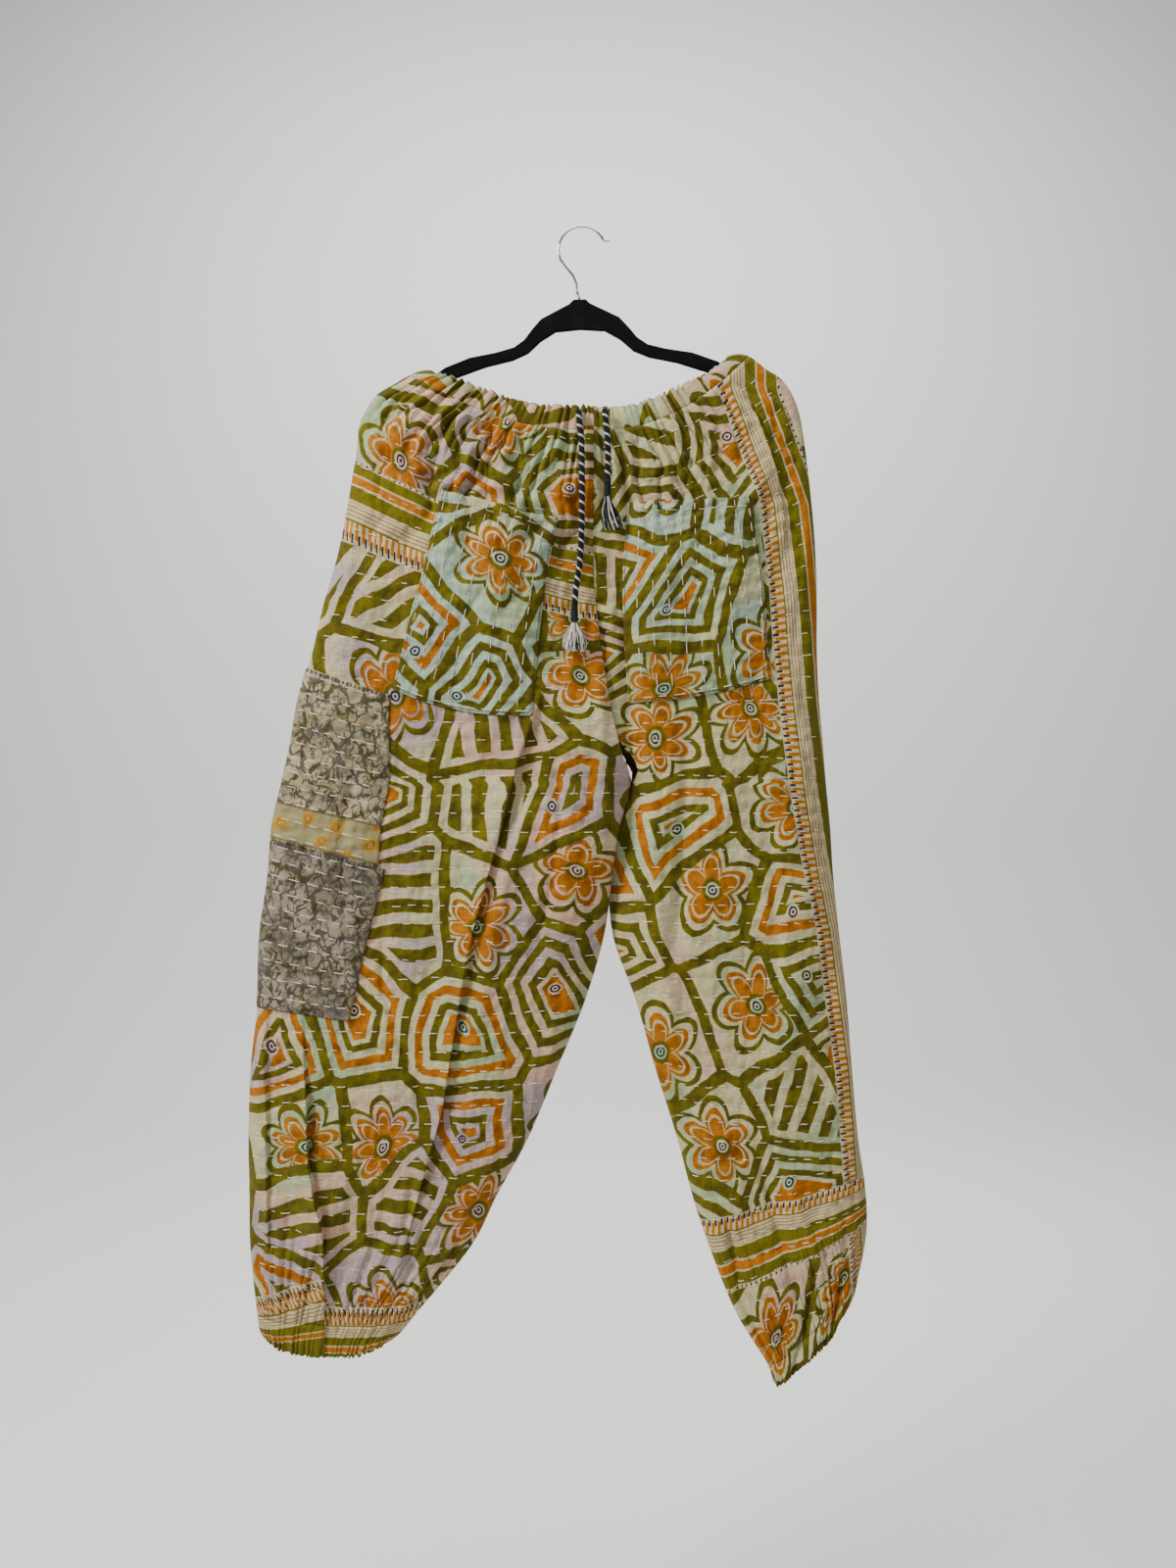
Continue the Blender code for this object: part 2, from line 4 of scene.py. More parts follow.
import bpy
import numpy as np
from mathutils import Matrix, Vector

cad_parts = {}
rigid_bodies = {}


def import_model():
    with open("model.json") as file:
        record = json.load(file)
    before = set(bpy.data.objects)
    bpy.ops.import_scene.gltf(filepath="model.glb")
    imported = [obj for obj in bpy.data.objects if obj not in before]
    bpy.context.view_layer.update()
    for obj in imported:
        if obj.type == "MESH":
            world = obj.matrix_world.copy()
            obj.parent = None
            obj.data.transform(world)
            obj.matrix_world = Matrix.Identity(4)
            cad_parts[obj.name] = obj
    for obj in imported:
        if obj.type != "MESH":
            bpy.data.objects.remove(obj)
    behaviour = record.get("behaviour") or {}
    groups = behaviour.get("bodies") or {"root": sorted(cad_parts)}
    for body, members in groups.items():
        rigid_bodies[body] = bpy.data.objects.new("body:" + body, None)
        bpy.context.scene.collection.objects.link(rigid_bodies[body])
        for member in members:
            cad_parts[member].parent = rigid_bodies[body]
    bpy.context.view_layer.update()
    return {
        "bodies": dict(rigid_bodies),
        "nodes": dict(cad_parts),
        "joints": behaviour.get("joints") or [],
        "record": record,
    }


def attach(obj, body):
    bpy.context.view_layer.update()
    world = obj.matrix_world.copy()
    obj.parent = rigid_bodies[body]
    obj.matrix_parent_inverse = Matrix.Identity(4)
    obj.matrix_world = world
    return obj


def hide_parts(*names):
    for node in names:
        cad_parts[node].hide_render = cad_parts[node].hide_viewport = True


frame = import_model()
mm = 0.001
rng = np.random.default_rng(11)

# Drawstring joggers of quilted printed cotton on a velvet hanger. Lengths in this file are in
# millimetres and become metres when a mesh is made. u runs from the side seam (0) to the centre
# seam or inseam (1), v counts the levels of the tables from the casing's top to the cuff's hem.

# ---- camera ----

camera = {"place": (0.0057, -1.142, -0.540), "lens": 27.0, "sensor": 36.0}


def addObject(name, data):
    made = bpy.data.objects.new(name, data)
    bpy.context.collection.objects.link(made)
    return made


def addCamera():
    data = bpy.data.cameras.new("photoCamera")
    data.lens = camera["lens"]
    data.sensor_width = camera["sensor"]
    data.sensor_fit = "AUTO"
    data.clip_end = 50
    made = addObject("photoCamera", data)
    made.location = camera["place"]
    made.rotation_euler = (pi / 2, 0, 0)
    bpy.context.scene.camera = made


addCamera()

# ---- nodes of a material or a Geometry Nodes tree ----


class Field:
    # A node's output. Arithmetic on it adds Math nodes, or Vector Math nodes where it is a vector.

    def __init__(self, kit, out):
        self.kit = kit
        self.out = out
        self.wide = out.type in ("VECTOR", "RGBA")

    def combine(self, operation, a, b):
        return (self.kit.vector if self.wide else self.kit.math)(operation, a, b)

    def __add__(self, other):
        return self.combine("ADD", self, other)

    def __sub__(self, other):
        return self.combine("SUBTRACT", self, other)

    def __rsub__(self, other):
        return self.combine("SUBTRACT", other, self)

    def __mul__(self, other):
        if self.wide and isinstance(other, float):
            return self.kit.vector("SCALE", self, scale=other)
        return self.combine("MULTIPLY", self, other)

    def __truediv__(self, other):
        return self.combine("DIVIDE", self, other)


class NodeKit:
    # Short calls that add one node each and give back its output as a Field.

    def __init__(self, tree):
        self.tree = tree

    def add(self, kind, **settings):
        node = self.tree.nodes.new(kind)
        for name, value in settings.items():
            setattr(node, name, value)
        return node

    def feed(self, socket, value):
        value = getattr(value, "out", value)
        if isinstance(value, bpy.types.NodeSocket):
            self.tree.links.new(value, socket)
        else:
            socket.default_value = value

    def fed(self, node, values, output=0):
        for key, value in values.items():
            if value is not None:
                self.feed(node.inputs[key], value)
        return Field(self, node.outputs[output])

    def math(self, operation, *values):
        return self.fed(self.add("ShaderNodeMath", operation=operation), dict(enumerate(values)))

    def most(self, a, b):
        return self.math("MAXIMUM", a, b)

    def vector(self, operation, a, b=None, scale=None):
        node = self.add("ShaderNodeVectorMath", operation=operation)
        return self.fed(node, {0: a, 1: b, "Scale": scale})

    def split(self, vector):
        node = self.add("ShaderNodeSeparateXYZ")
        self.feed(node.inputs[0], vector)
        return [Field(self, out) for out in node.outputs]

    def noise(self, vector, scale, detail=2.0, rough=0.5, colour=False):
        values = {"Vector": vector, "Scale": scale, "Detail": detail, "Roughness": rough}
        return self.fed(self.add("ShaderNodeTexNoise"), values, int(colour))

    def wander(self, vector, scale, detail, rough=0.5):
        return self.noise(vector, scale, detail, rough, colour=True) - (0.5, 0.5, 0.5)

    def cells(self, vector, scale, random=1.0, feature="F1"):
        node = self.add("ShaderNodeTexVoronoi", voronoi_dimensions="2D", feature=feature)
        self.fed(node, {"Vector": vector, "Scale": scale, "Randomness": random})
        return {out.name: Field(self, out) for out in node.outputs}

    def cellEdge(self, vector, scale, random=1.0):
        return self.cells(vector, scale, random, "DISTANCE_TO_EDGE")["Distance"] * (1 / scale)

    def step(self, value, low, high):
        node = self.add("ShaderNodeMapRange", interpolation_type="SMOOTHSTEP")
        return self.fed(node, {"Value": value, "From Min": low, "From Max": high})

    def band(self, value, low, high, soft):
        rise = self.step(value, low - soft, low + soft)
        return rise - rise * self.step(value, high - soft, high + soft)

    def mix(self, factor, a, b, blend="MIX"):
        node = self.add("ShaderNodeMix", data_type="RGBA", blend_type=blend)
        a, b = ((*value, 1) if isinstance(value, tuple) else value for value in (a, b))
        return self.fed(node, {0: factor, 6: a, 7: b}, 2)

    def shade(self, colour, factor, dark, light):
        return self.mix(1.0, colour, self.mix(factor, dark, light), "MULTIPLY")

    def attribute(self, name):
        return Field(self, self.add("ShaderNodeAttribute", attribute_name=name).outputs["Fac"])

    def flatCloth(self):
        return Field(self, self.add("ShaderNodeUVMap", uv_map="cloth").outputs[0]) * flatScale

    def place(self):
        return Field(self, self.add("ShaderNodeTexCoord").outputs["Object"])

    def bump(self, height, distance, strength=1.0, normal=None):
        values = {"Strength": strength, "Distance": distance, "Height": height, "Normal": normal}
        return self.fed(self.add("ShaderNodeBump"), values)


flatScale = 1.25  # metres of flat cloth that its UV map covers


def srgb(red, green, blue):
    # A colour as it reads in a picture, 0 to 255, as a linear one.
    return tuple(((c / 255 + 0.055) / 1.055) ** 2.4 if c > 10 else c / 3295 for c in (red, green, blue))


def newMaterial(name, roughness, sheen=0.05, sheenRough=0.5, metallic=0.0, gloss=0.2):
    made = bpy.data.materials.new(name)
    made.use_nodes = True
    n = NodeKit(made.node_tree)
    shader = made.node_tree.nodes["Principled BSDF"]
    n.fed(shader, {
        "Roughness": roughness, "Metallic": metallic, "Specular IOR Level": gloss,
        "Sheen Weight": sheen, "Sheen Roughness": sheenRough,
    })
    return made, n, shader


# ---- the printed cloth ----

dyes = {
    "olive": srgb(106, 98, 0),
    "oliveDark": srgb(80, 72, 0),
    "orange": srgb(178, 106, 0),
    "orangeDark": srgb(138, 78, 0),
    "ink": srgb(28, 28, 50),
    "cream": srgb(196, 188, 142),
    "pink": srgb(206, 170, 144),
    "sage": srgb(162, 178, 138),
    "lilac": srgb(178, 160, 156),
    "aqua": srgb(166, 186, 164),
    "thread": srgb(238, 232, 214),
}
weave = {"pitch": 0.0008, "height": 0.00022, "slub": (90, 850, 1), "slubAcross": (850, 90, 1)}
# The print's cells, in metres: bands lie in from a cell's edge, flowers round its middle.
motif = {
    "size": 0.098, "random": 0.78, "drift": 0.0264, "shiver": 0.0024, "soft": 0.0005,
    "frame": 0.0054, "outerBand": (0.0125, 0.0205), "innerBand": (0.0275, 0.0345), "core": 0.0385,
    "petal": 0.0200, "lobe": 0.0165, "vein": (0.0055, 0.0085), "outline": (0.0065, 0.0130),
    "heart": 0.0105, "eye": 0.0068, "ring": (0.0030, 0.0048), "dot": (0.0016, 0.0011),
    "barPitch": 0.0235, "barEdge": 0.0125,
}


def finishCloth(n, shader, flat, colour, dark, light, crinkle):
    # Threads over and under, with slubs that run along them and take the dye unevenly.
    x, y, _ = n.split(flat)
    turns = 2 * pi / weave["pitch"]
    threads = n.math("SINE", x * turns) * n.math("SINE", y * turns)
    slubs = n.noise(flat * weave["slub"], 1.0, 3) + n.noise(flat * weave["slubAcross"], 1.0, 3)
    colour = n.shade(colour, n.step(slubs, 0.7, 1.3), dark, light)
    normal = n.bump(threads * 0.25 + slubs, weave["height"], 0.6, crinkle)
    n.fed(shader, {"Base Color": colour, "Normal": normal})


def groundColour(n, place, tints):
    # Washed patches of a few pale tints that run into each other.
    first, second, third, fourth = (dyes[tint] for tint in tints)
    wash = n.noise(place + (3.1, 1.7, 0), 7.5, 1.5)
    other = n.noise(place + (7.7, 4.2, 0), 9.0, 1.5)
    ground = n.mix(n.step(wash, 0.42, 0.56), first, second)
    ground = n.mix(n.step(other, 0.50, 0.62), ground, third)
    return n.mix(n.step(other, 0.44, 0.34), ground, fourth)


def printMasks(n, place):
    # Uneven rounded cells, each with nested bands, a flower or slanting bars inside its frame.
    soft = motif["soft"]

    def within(value, limit):
        return n.step(value, limit + soft, limit - soft)

    moved = place + n.wander(place, 13, 1) * motif["drift"] + n.wander(place, 95, 1.5) * motif["shiver"]
    near = n.cells(moved, 1 / motif["size"], motif["random"])
    edge = n.cellEdge(moved, 1 / motif["size"], motif["random"])
    kind, tone, turn = n.split(near["Color"])
    x, y, _ = n.split(moved - near["Position"])
    radius = n.math("SQRT", x * x + y * y)
    angle = n.math("ARCTAN2", y, x) + turn * (2 * pi)
    petals = n.math("FLOOR", tone * 3.99) + 5.0
    lobe = n.math("ABSOLUTE", n.math("COSINE", angle * (petals * 0.5)))
    isFlower = n.band(kind, 0.36, 0.76, 0.001)
    isBars = n.step(kind, 0.76, 0.762)
    isNest = n.most(1.0 - (isFlower + isBars), 0.0)
    isRound = n.most(isNest, isFlower)

    outer = n.band(edge, *motif["outerBand"], soft)
    core = n.step(edge, motif["core"] - soft, motif["core"] + soft)
    warm = outer * n.step(tone, 0.45, 0.452)
    nest = n.most(outer, n.band(edge, *motif["innerBand"], soft)) - warm

    past = radius - (lobe * motif["lobe"] + motif["petal"])  # how far outside the petals
    vein = within(past, -motif["vein"][0]) - within(past, -motif["vein"][1])
    flower = within(past, 0) - vein * 0.92
    outline = n.band(past, *motif["outline"], soft)

    slant = turn * pi
    along = x * n.math("COSINE", slant) + y * n.math("SINE", slant)
    bars = n.math("FRACT", along / motif["barPitch"] + 50.25)
    inBars = n.step(edge, motif["barEdge"] - soft, motif["barEdge"] + soft)
    bars = n.band(bars, 0.22, 0.76, 0.02) * inBars * isBars
    pair = n.math("FRACT", along / (2 * motif["barPitch"]) + 50.1)
    warmBars = bars * (n.band(pair, 0.25, 0.75, 0.002) * n.step(tone, 0.12, 0.122))

    ink = n.most(n.band(radius, *motif["ring"], 0.0003), n.step(radius, *motif["dot"])) * isRound
    frame = within(edge, motif["frame"])
    orange = isNest * n.most(core, warm) + isFlower * flower + warmBars
    olive = isNest * nest + isFlower * n.most(within(radius, motif["heart"]), outline) + bars
    return n.most(olive, frame), orange * (1.0 - frame), ink, within(radius, motif["eye"]) * isRound


# The border's stripes across it, in mm: dye, from, to and softness.
borderStripes = (
    ("olive", 3.6, 14.2, 0.35), ("orange", 16.0, 23.4, 0.35), ("olive", 25.2, 36.4, 0.35),
    ("olive", 50.4, 51.8, 0.2),
)
borderWidth, linePitch, toothPitch = 66.0, 3.1, 0.0062


def borderColour(n, colour, across, along):
    # The cloth's woven-look border, across in mm from its ticked edge to the comb's tips.
    fine = n.band(n.math("FRACT", across / linePitch), 0.18, 0.52, 0.06) * n.band(across, 38.4, 50.2, 0.2)
    made = n.mix(fine * 0.75, n.mix(0.25, dyes["cream"], dyes["pink"]), dyes["orangeDark"])
    for dye, low, high, soft in borderStripes:
        made = n.mix(n.band(across, low, high, soft), made, dyes[dye])
    tooth = n.math("FRACT", along / toothPitch)
    comb = n.band(tooth, 0.18, 0.66, 0.05) * n.band(across, 51.6, 62.5, 0.3)
    made = n.mix(comb, made, dyes["orange"])
    ends = n.most(n.band(across, 59.0, 65.0, 0.3), n.band(across, 0.3, 2.8, 0.3))
    made = n.mix(n.band(tooth, 0.66, 0.98, 0.05) * ends, made, dyes["ink"])
    return n.mix(n.band(across, 0.0, borderWidth, 0.4), colour, made)


def printedCotton(name, tints, offset, turned=0.0, borders=(), seam=False):
    made, n, shader = newMaterial(name, 0.88, sheenRough=0.45)
    flat = n.flatCloth()
    flatX, flatY, _ = n.split(flat)
    place = flat + (*offset, 0)
    if turned:
        x, y, _ = n.split(place)
        both = {0: x * cos(turned) - y * sin(turned), 1: x * sin(turned) + y * cos(turned)}
        place = n.fed(n.add("ShaderNodeCombineXYZ"), both)
    olive, orange, ink, eye = printMasks(n, place)
    ground = groundColour(n, place, tints)
    mottle = n.noise(place, 55, 3, 0.6)
    colour = ground
    for mask, dye, low, high in ((orange, "orange", 0.30, 0.62), (olive, "olive", 0.35, 0.68)):
        colour = n.mix(mask, colour, n.mix(n.step(mottle, low, high), dyes[f"{dye}Dark"], dyes[dye]))
    colour = n.mix(ink, n.mix(eye, colour, ground), dyes["ink"])
    for attribute, alongY in borders:
        colour = borderColour(n, colour, n.attribute(attribute), flatY if alongY else flatX)
    if seam:  # a dark line of stitching inside the edges
        dash = n.math("FRACT", (flatX + flatY) / 0.0034)
        line = n.band(n.attribute("rim"), 1.5, 2.8, 0.25) * n.band(dash, 0.08, 0.82, 0.1)
        colour = n.mix(line * 0.8, colour, srgb(80, 66, 30))
    # The whole has faded in soft clouds.
    colour = n.shade(colour, n.noise(flat, 11, 3), (0.80, 0.80, 0.80), (1.12, 1.11, 1.08))
    crinkle = n.bump(n.noise(flat * (1.0, 1.6, 1), 150, 4, 0.62), 0.0016, 0.8)
    finishCloth(n, shader, flat, colour, (0.76, 0.76, 0.74), (1.12, 1.12, 1.12), crinkle)
    return made


# The side patches: two washes of ground each, and the upper one's flowered strip in mm above its hem.
crackle = {
    "upper": {"wash": (srgb(144, 134, 104), srgb(176, 162, 130)), "strip": (3.0, 34.0)},
    "lower": {"wash": (srgb(122, 113, 96), srgb(156, 143, 126)), "strip": None},
    "wideNet": 46, "fineNet": 92, "bend": 0.020, "thick": 0.0035, "braid": 0.0042,
}


def flowerStrip(n, colour, flat, bend, low, high):
    above = n.attribute("hem")
    blossom = n.cells((flat + bend * 0.013) * (1, 1.15, 1), 37, 0.8)["Distance"]
    strip = n.mix(n.noise(flat, 60, 2), srgb(158, 148, 108), srgb(138, 128, 84))
    strip = n.mix(n.step(blossom, 0.34, 0.27) * 0.85, strip, srgb(176, 132, 36))
    strip = n.mix(n.band(blossom, 0.10, 0.16, 0.02) * 0.7, strip, srgb(120, 92, 36))
    colour = n.mix(n.band(above, low, high, 1.2), colour, strip)
    rule = n.most(n.band(above, low - 0.8, low + 0.4, 0.3), n.band(above, high - 0.8, high + 0.6, 0.3))
    return n.mix(rule, colour, srgb(112, 96, 52))


def crackledCotton(name):
    # A washed grey-green ground under a net of broken dark lines.
    made, n, shader = newMaterial(f"crackle{name.title()}", 0.9, sheenRough=0.45)
    flat = n.flatCloth()
    bend = n.wander(flat, 45, 3, 0.65)
    moved = (flat + bend * crackle["bend"]) * (1.25, 1, 1)
    thick = n.noise(flat, 120, 1) * crackle["thick"]
    wide = n.step(n.cellEdge(moved, crackle["wideNet"]) - thick, 0.0003, -0.0004)
    fine = n.step(n.cellEdge(moved + (2.3, 5.1, 0), crackle["fineNet"]) - thick * 0.6, 0.0003, -0.0003)
    wide = wide * n.step(n.noise(flat, 60, 2), 0.40, 0.50)
    fine = fine * n.step(n.noise(flat + (4, 2, 0), 55, 2), 0.44, 0.52)
    clumps = n.step(n.noise(flat + (6, 3, 0), 34, 2), 0.43, 0.53)
    stain = n.step(n.noise(moved, 210, 4, 0.75), 0.49, 0.54) * clumps
    colour = n.mix(n.step(n.noise(flat, 22, 2), 0.40, 0.62), *crackle[name]["wash"])
    ochre = n.step(n.noise(moved + (1, 8, 0), 130, 3, 0.6), 0.60, 0.66)
    colour = n.mix(ochre * 0.55, colour, srgb(172, 130, 52))
    mark = n.mix(n.step(n.noise(flat, 40, 2), 0.44, 0.56), srgb(62, 56, 30), srgb(74, 69, 62))
    colour = n.mix(stain * 0.75, colour, mark)
    colour = n.mix(n.most(wide, fine) * 0.88, colour, mark)
    braid = n.math("FRACT", n.split(flat)[0] / crackle["braid"])
    rim = n.band(n.attribute("top"), 0.8, 3.4, 0.3) * n.band(braid, 0.1, 0.72, 0.1)
    colour = n.mix(rim * 0.85, colour, srgb(58, 54, 50))
    if crackle[name]["strip"]:
        colour = flowerStrip(n, colour, flat, bend, *crackle[name]["strip"])
    crinkle = n.bump(n.noise(flat, 170, 3, 0.6), 0.0010, 0.7)
    finishCloth(n, shader, flat, colour, (0.86, 0.86, 0.86), (1.05, 1.05, 1.05), crinkle)
    return made


# ---- the cloth's surface ----

# One row for each level: its two ends, how fast it leaves the side seam's height, its droop, the
# width of its rounded ends, its depth before and behind the seam, and the inseam's place in Y.
columns = "outerX outerZ innerX innerZ bow sag side front back shift".split()
levels = {
    "right": np.array([
        (-148, -139, 11, -181, 2.2, 0, 60, 22, 21, 0),
        (-168, -144, 11, -203, 2.2, 0, 62, 23, 22, 0),
        (-184, -153, 11, -218, 2.1, 0, 64, 24, 23, 0),
        (-200, -163, 11, -234, 2.0, 0, 66, 25, 24, 0),
        (-210, -177, 11, -250, 1.9, 0, 66, 25, 25, 0),
        (-217, -194, 11, -267, 1.8, 0, 66, 25, 26, 0),
        (-219, -216, 11, -287, 1.7, 0, 66, 25, 27, 0),
        (-223, -241, 11, -309, 1.6, 0, 66, 25, 28, 0),
        (-229, -276, 11, -336, 1.5, 0, 66, 25, 29, 0),
        (-238, -320, 13, -368, 1.4, 0, 66, 25, 30, 0),
        (-251, -365, 17, -399, 1.3, 0, 66, 25, 30, 0),
        (-262, -412, 22, -433, 1.2, 0, 66, 25, 30, 0),
        (-276, -460, 28, -468, 1.1, 0, 66, 25, 29, 0),
        (-283, -503, 37, -505, 1.0, 0, 66, 25, 27, 0),
        (-292, -541, 48, -536, 1.0, 0, 66, 24, 25, 0),
        (-301, -583, 36, -583, 1.0, 1, 66, 23, 24, -8),
        (-305, -631, 29, -631, 1.0, 2, 66, 23, 23, -8),
        (-313, -688, 21, -688, 1.0, 2, 66, 22, 22, -4),
        (-315, -750, 3, -750, 1.0, 3, 64, 22, 22, 0),
        (-322, -816, -24, -816, 1.0, 3, 62, 22, 22, 0),
        (-324, -883, -52, -883, 1.0, 3, 58, 21, 21, 0),
        (-323, -938, -82, -938, 1.0, 3, 52, 21, 21, 0),
        (-322, -989, -108, -989, 1.0, 3, 46, 20, 20, 0),
        (-315, -1054, -162, -1055, 1.0, 3, 38, 18, 18, 0),
        (-310, -1074, -183, -1078, 1.0, 4, 36, 17, 17, 0),
    ], float),
    "left": np.array([
        (143, -124, 11, -181, 2.3, 0, 56, 22, 21, 0),
        (162, -125, 11, -203, 2.3, 0, 60, 23, 22, 0),
        (178, -137, 11, -218, 2.2, 0, 62, 24, 23, 0),
        (192, -146, 11, -234, 2.1, 0, 64, 25, 24, 0),
        (203, -160, 11, -250, 2.0, 0, 66, 25, 25, 0),
        (210, -177, 11, -267, 1.9, 0, 66, 25, 26, 0),
        (214, -196, 11, -287, 1.8, 0, 66, 25, 27, 0),
        (218, -225, 11, -309, 1.7, 0, 66, 25, 28, 0),
        (222, -259, 11, -336, 1.6, 0, 66, 25, 29, 0),
        (226, -305, 13, -368, 1.5, 0, 66, 25, 30, 0),
        (228, -355, 17, -399, 1.3, 0, 66, 25, 30, 0),
        (228, -408, 22, -433, 1.2, 0, 66, 25, 30, 0),
        (230, -457, 28, -468, 1.1, 0, 66, 25, 29, 0),
        (234, -503, 37, -505, 1.0, 0, 66, 25, 27, 0),
        (237, -541, 48, -536, 1.0, 0, 66, 24, 25, 0),
        (241, -583, 33, -583, 1.0, 1, 62, 23, 24, 8),
        (244, -631, 26, -631, 1.0, 2, 62, 22, 23, 8),
        (250, -688, 30, -688, 1.0, 2, 62, 22, 22, 4),
        (257, -750, 52, -750, 1.0, 3, 60, 22, 22, 0),
        (262, -816, 71, -816, 1.0, 3, 58, 22, 22, 0),
        (268, -883, 92, -883, 1.0, 3, 54, 21, 21, 0),
        (275, -932, 112, -956, 1.0, 3, 48, 21, 21, 0),
        (276, -973, 146, -1046, 1.0, 3, 42, 20, 20, 0),
        (268, -1016, 180, -1103, 1.0, 3, 36, 18, 18, 0),
        (259, -1046, 186, -1121, 1.0, 3, 34, 17, 17, 0),
    ], float),
}
crotch, cuffSeam, hem = 14, 23, 24
crotchRise = 50.0
sideSign = {"right": 1, "left": -1}
faceSign = {"front": -1, "back": 1}

# How high the gathers stand, in mm: at the casing, the larger folds that they run into below it,
# and the same at the cuffs.
gathers = {"casing": 3.8, "folds": 7.4, "cuff": 2.2, "shin": 1.9}
# Ridges on a panel: how many, how sharp, and how much of them shows at which levels.
ridgeRows = {
    "casing": (22, 0.7, (0, 1, 1.6, 3.2, 6.0), (1.0, 0.55, 1.1, 0.85, 0)),
    "half": (11, 0.8, (0, 1, 2.4, 4.5, 8.5), (0.1, 0.15, 0.9, 0.9, 0)),
    "long": (5, 1.2, (1, 3, 5.5, 8, 13), (0, 0.35, 0.9, 0.55, 0)),
    "cuff": (26, 0.8, (21, 22.2, 22.9, 23, 23.5, 24), (0, 0.7, 1, 0.45, 0.6, 0.9)),
    "shin": (26 / 3.1, 1.1, (18.5, 20.5, 22.4, 23), (0, 0.5, 1, 0.2)),
}
# Folds listed for each panel: the kind, height or depth, half width, and the line as (x, z).
creases = {
    "front": (
        ("valley", 8.0, 14, ((11, -215), (14, -300), (14, -380), (34, -500))),
    ),
    "front_right": (
        ("flap", 8.0, 26, ((-34, -440), (-41, -465), (-64, -523), (-78, -580), (-91, -626),
         (-105, -677), (-112, -707), (-123, -771), (-135, -847), (-152, -910), (-169, -980),
         (-176, -1020))),
        ("valley", 3.0, 4, ((-66, -560), (-86, -600), (-98, -640))),
        ("ridge", 4.5, 12, ((-30, -490), (-60, -590), (-82, -670), (-98, -760), (-118, -850))),
        ("flap", 4.5, 18, ((-301, -740), (-303, -830), (-302, -900), (-299, -1045))),
        ("flap", 9.5, 32, ((-268, -750), (-266, -815), (-265, -867), (-263, -900), (-257, -932),
         (-250, -956), (-247, -1000), (-247, -1150))),
        ("valley", 4.0, 5, ((-191, -640), (-191, -733), (-176, -784), (-159, -826), (-146, -861))),
        ("valley", 4.5, 6, ((-161, -905), (-170, -960), (-160, -1030))),
        ("ridge", 5.5, 12, ((6, -330), (18, -440), (22, -540), (14, -636))),
        ("valley", 5.0, 7, ((-28, -500), (-20, -560), (-30, -640), (-52, -720))),
        ("valley", 4.0, 8, ((-210, -500), (-230, -600), (-222, -700))),
        ("valley", 3.2, 5, ((-157, -150), (-172, -182), (-180, -210))),
        ("valley", 3.2, 5, ((-143, -166), (-163, -200), (-172, -240))),
        ("valley", 3.2, 6, ((-120, -178), (-133, -215), (-150, -262))),
    ),
    "front_left": (
        ("valley", 8.0, 13, ((34, -300), (42, -380), (46, -446), (44, -541), (34, -636))),
        ("valley", 6.5, 12, ((101, -465), (99, -540), (96, -600), (91, -731))),
        ("ridge", 4.5, 12, ((66, -480), (70, -600), (78, -720), (96, -830))),
        ("flap", 3.6, 14, ((143, -142), (172, -199), (190, -256), (197, -330))),
        ("valley", 5.0, 8, ((160, -860), (178, -930), (196, -1000), (214, -1050))),
        ("valley", 6.0, 5, ((136, -930), (141, -970), (148, -1030), (162, -1062), (180, -1092),
         (198, -1112))),
        ("valley", 5.5, 4, ((224, -990), (219, -1030), (214, -1064), (204, -1095), (198, -1120))),
        ("valley", 4.5, 4, ((250, -950), (252, -1000), (244, -1045), (236, -1070))),
        ("ridge", 3.0, 6, ((262, -985), (236, -1000), (214, -1020))),
        ("ridge", 4.5, 9, ((190, -900), (212, -965), (236, -1020))),
        ("valley", 3.6, 9, ((180, -560), (186, -680), (190, -800))),
    ),
    "back_right": (
        ("valley", 5.5, 12, ((-70, -330), (-100, -440), (-126, -600), (-150, -800))),
        ("valley", 5.0, 9, ((20, -470), (-30, -560), (-60, -660), (-90, -790))),
        ("ridge", 3.5, 14, ((-160, -380), (-180, -560), (-200, -760))),
        ("flap", 4.0, 26, ((-240, -820), (-246, -930), (-250, -1045))),
        ("valley", 4.0, 10, ((10, -250), (0, -380), (16, -500))),
    ),
    "back_left": (
        ("valley", 5.5, 12, ((80, -360), (106, -480), (118, -640), (132, -800))),
        ("valley", 4.5, 9, ((60, -480), (84, -560), (92, -680), (110, -800))),
        ("ridge", 3.5, 14, ((170, -400), (180, -560), (190, -760))),
        ("valley", 3.5, 9, ((190, -850), (205, -930), (215, -1030))),
        ("valley", 3.5, 10, ((20, -260), (40, -380), (44, -500))),
    ),
}


def smoothRows(table, at):
    # The smooth curve through a table's rows, read at row numbers that may lie between them.
    last = len(table) - 1
    i = np.minimum(at.astype(int), last - 1)
    t = (at - i)[..., None]
    a, b, c, d = (table[np.clip(i + k, 0, last)] for k in (-1, 0, 1, 2))
    return b + 0.5 * t * (c - a + t * (2 * a - 5 * b + 4 * c - d + t * (3 * (b - c) + d - a)))


def readLevels(side, v):
    # The measures at a level; both legs share the centre seam above the crotch.
    own = dict(zip(columns, np.moveaxis(smoothRows(levels[side], v), -1, 0)))
    if side == "left":
        shared = readLevels("right", v)
        for name in ("innerX", "innerZ"):
            own[name] = np.where(v <= crotch, shared[name], own[name])
    return own


def rounded(distance, width):
    t = np.clip(distance / width, 0, 1)
    return np.sqrt(1 - (1 - t) ** 2)


def smooth(t):
    t = np.clip(t, 0, 1)
    return t * t * (3 - 2 * t)


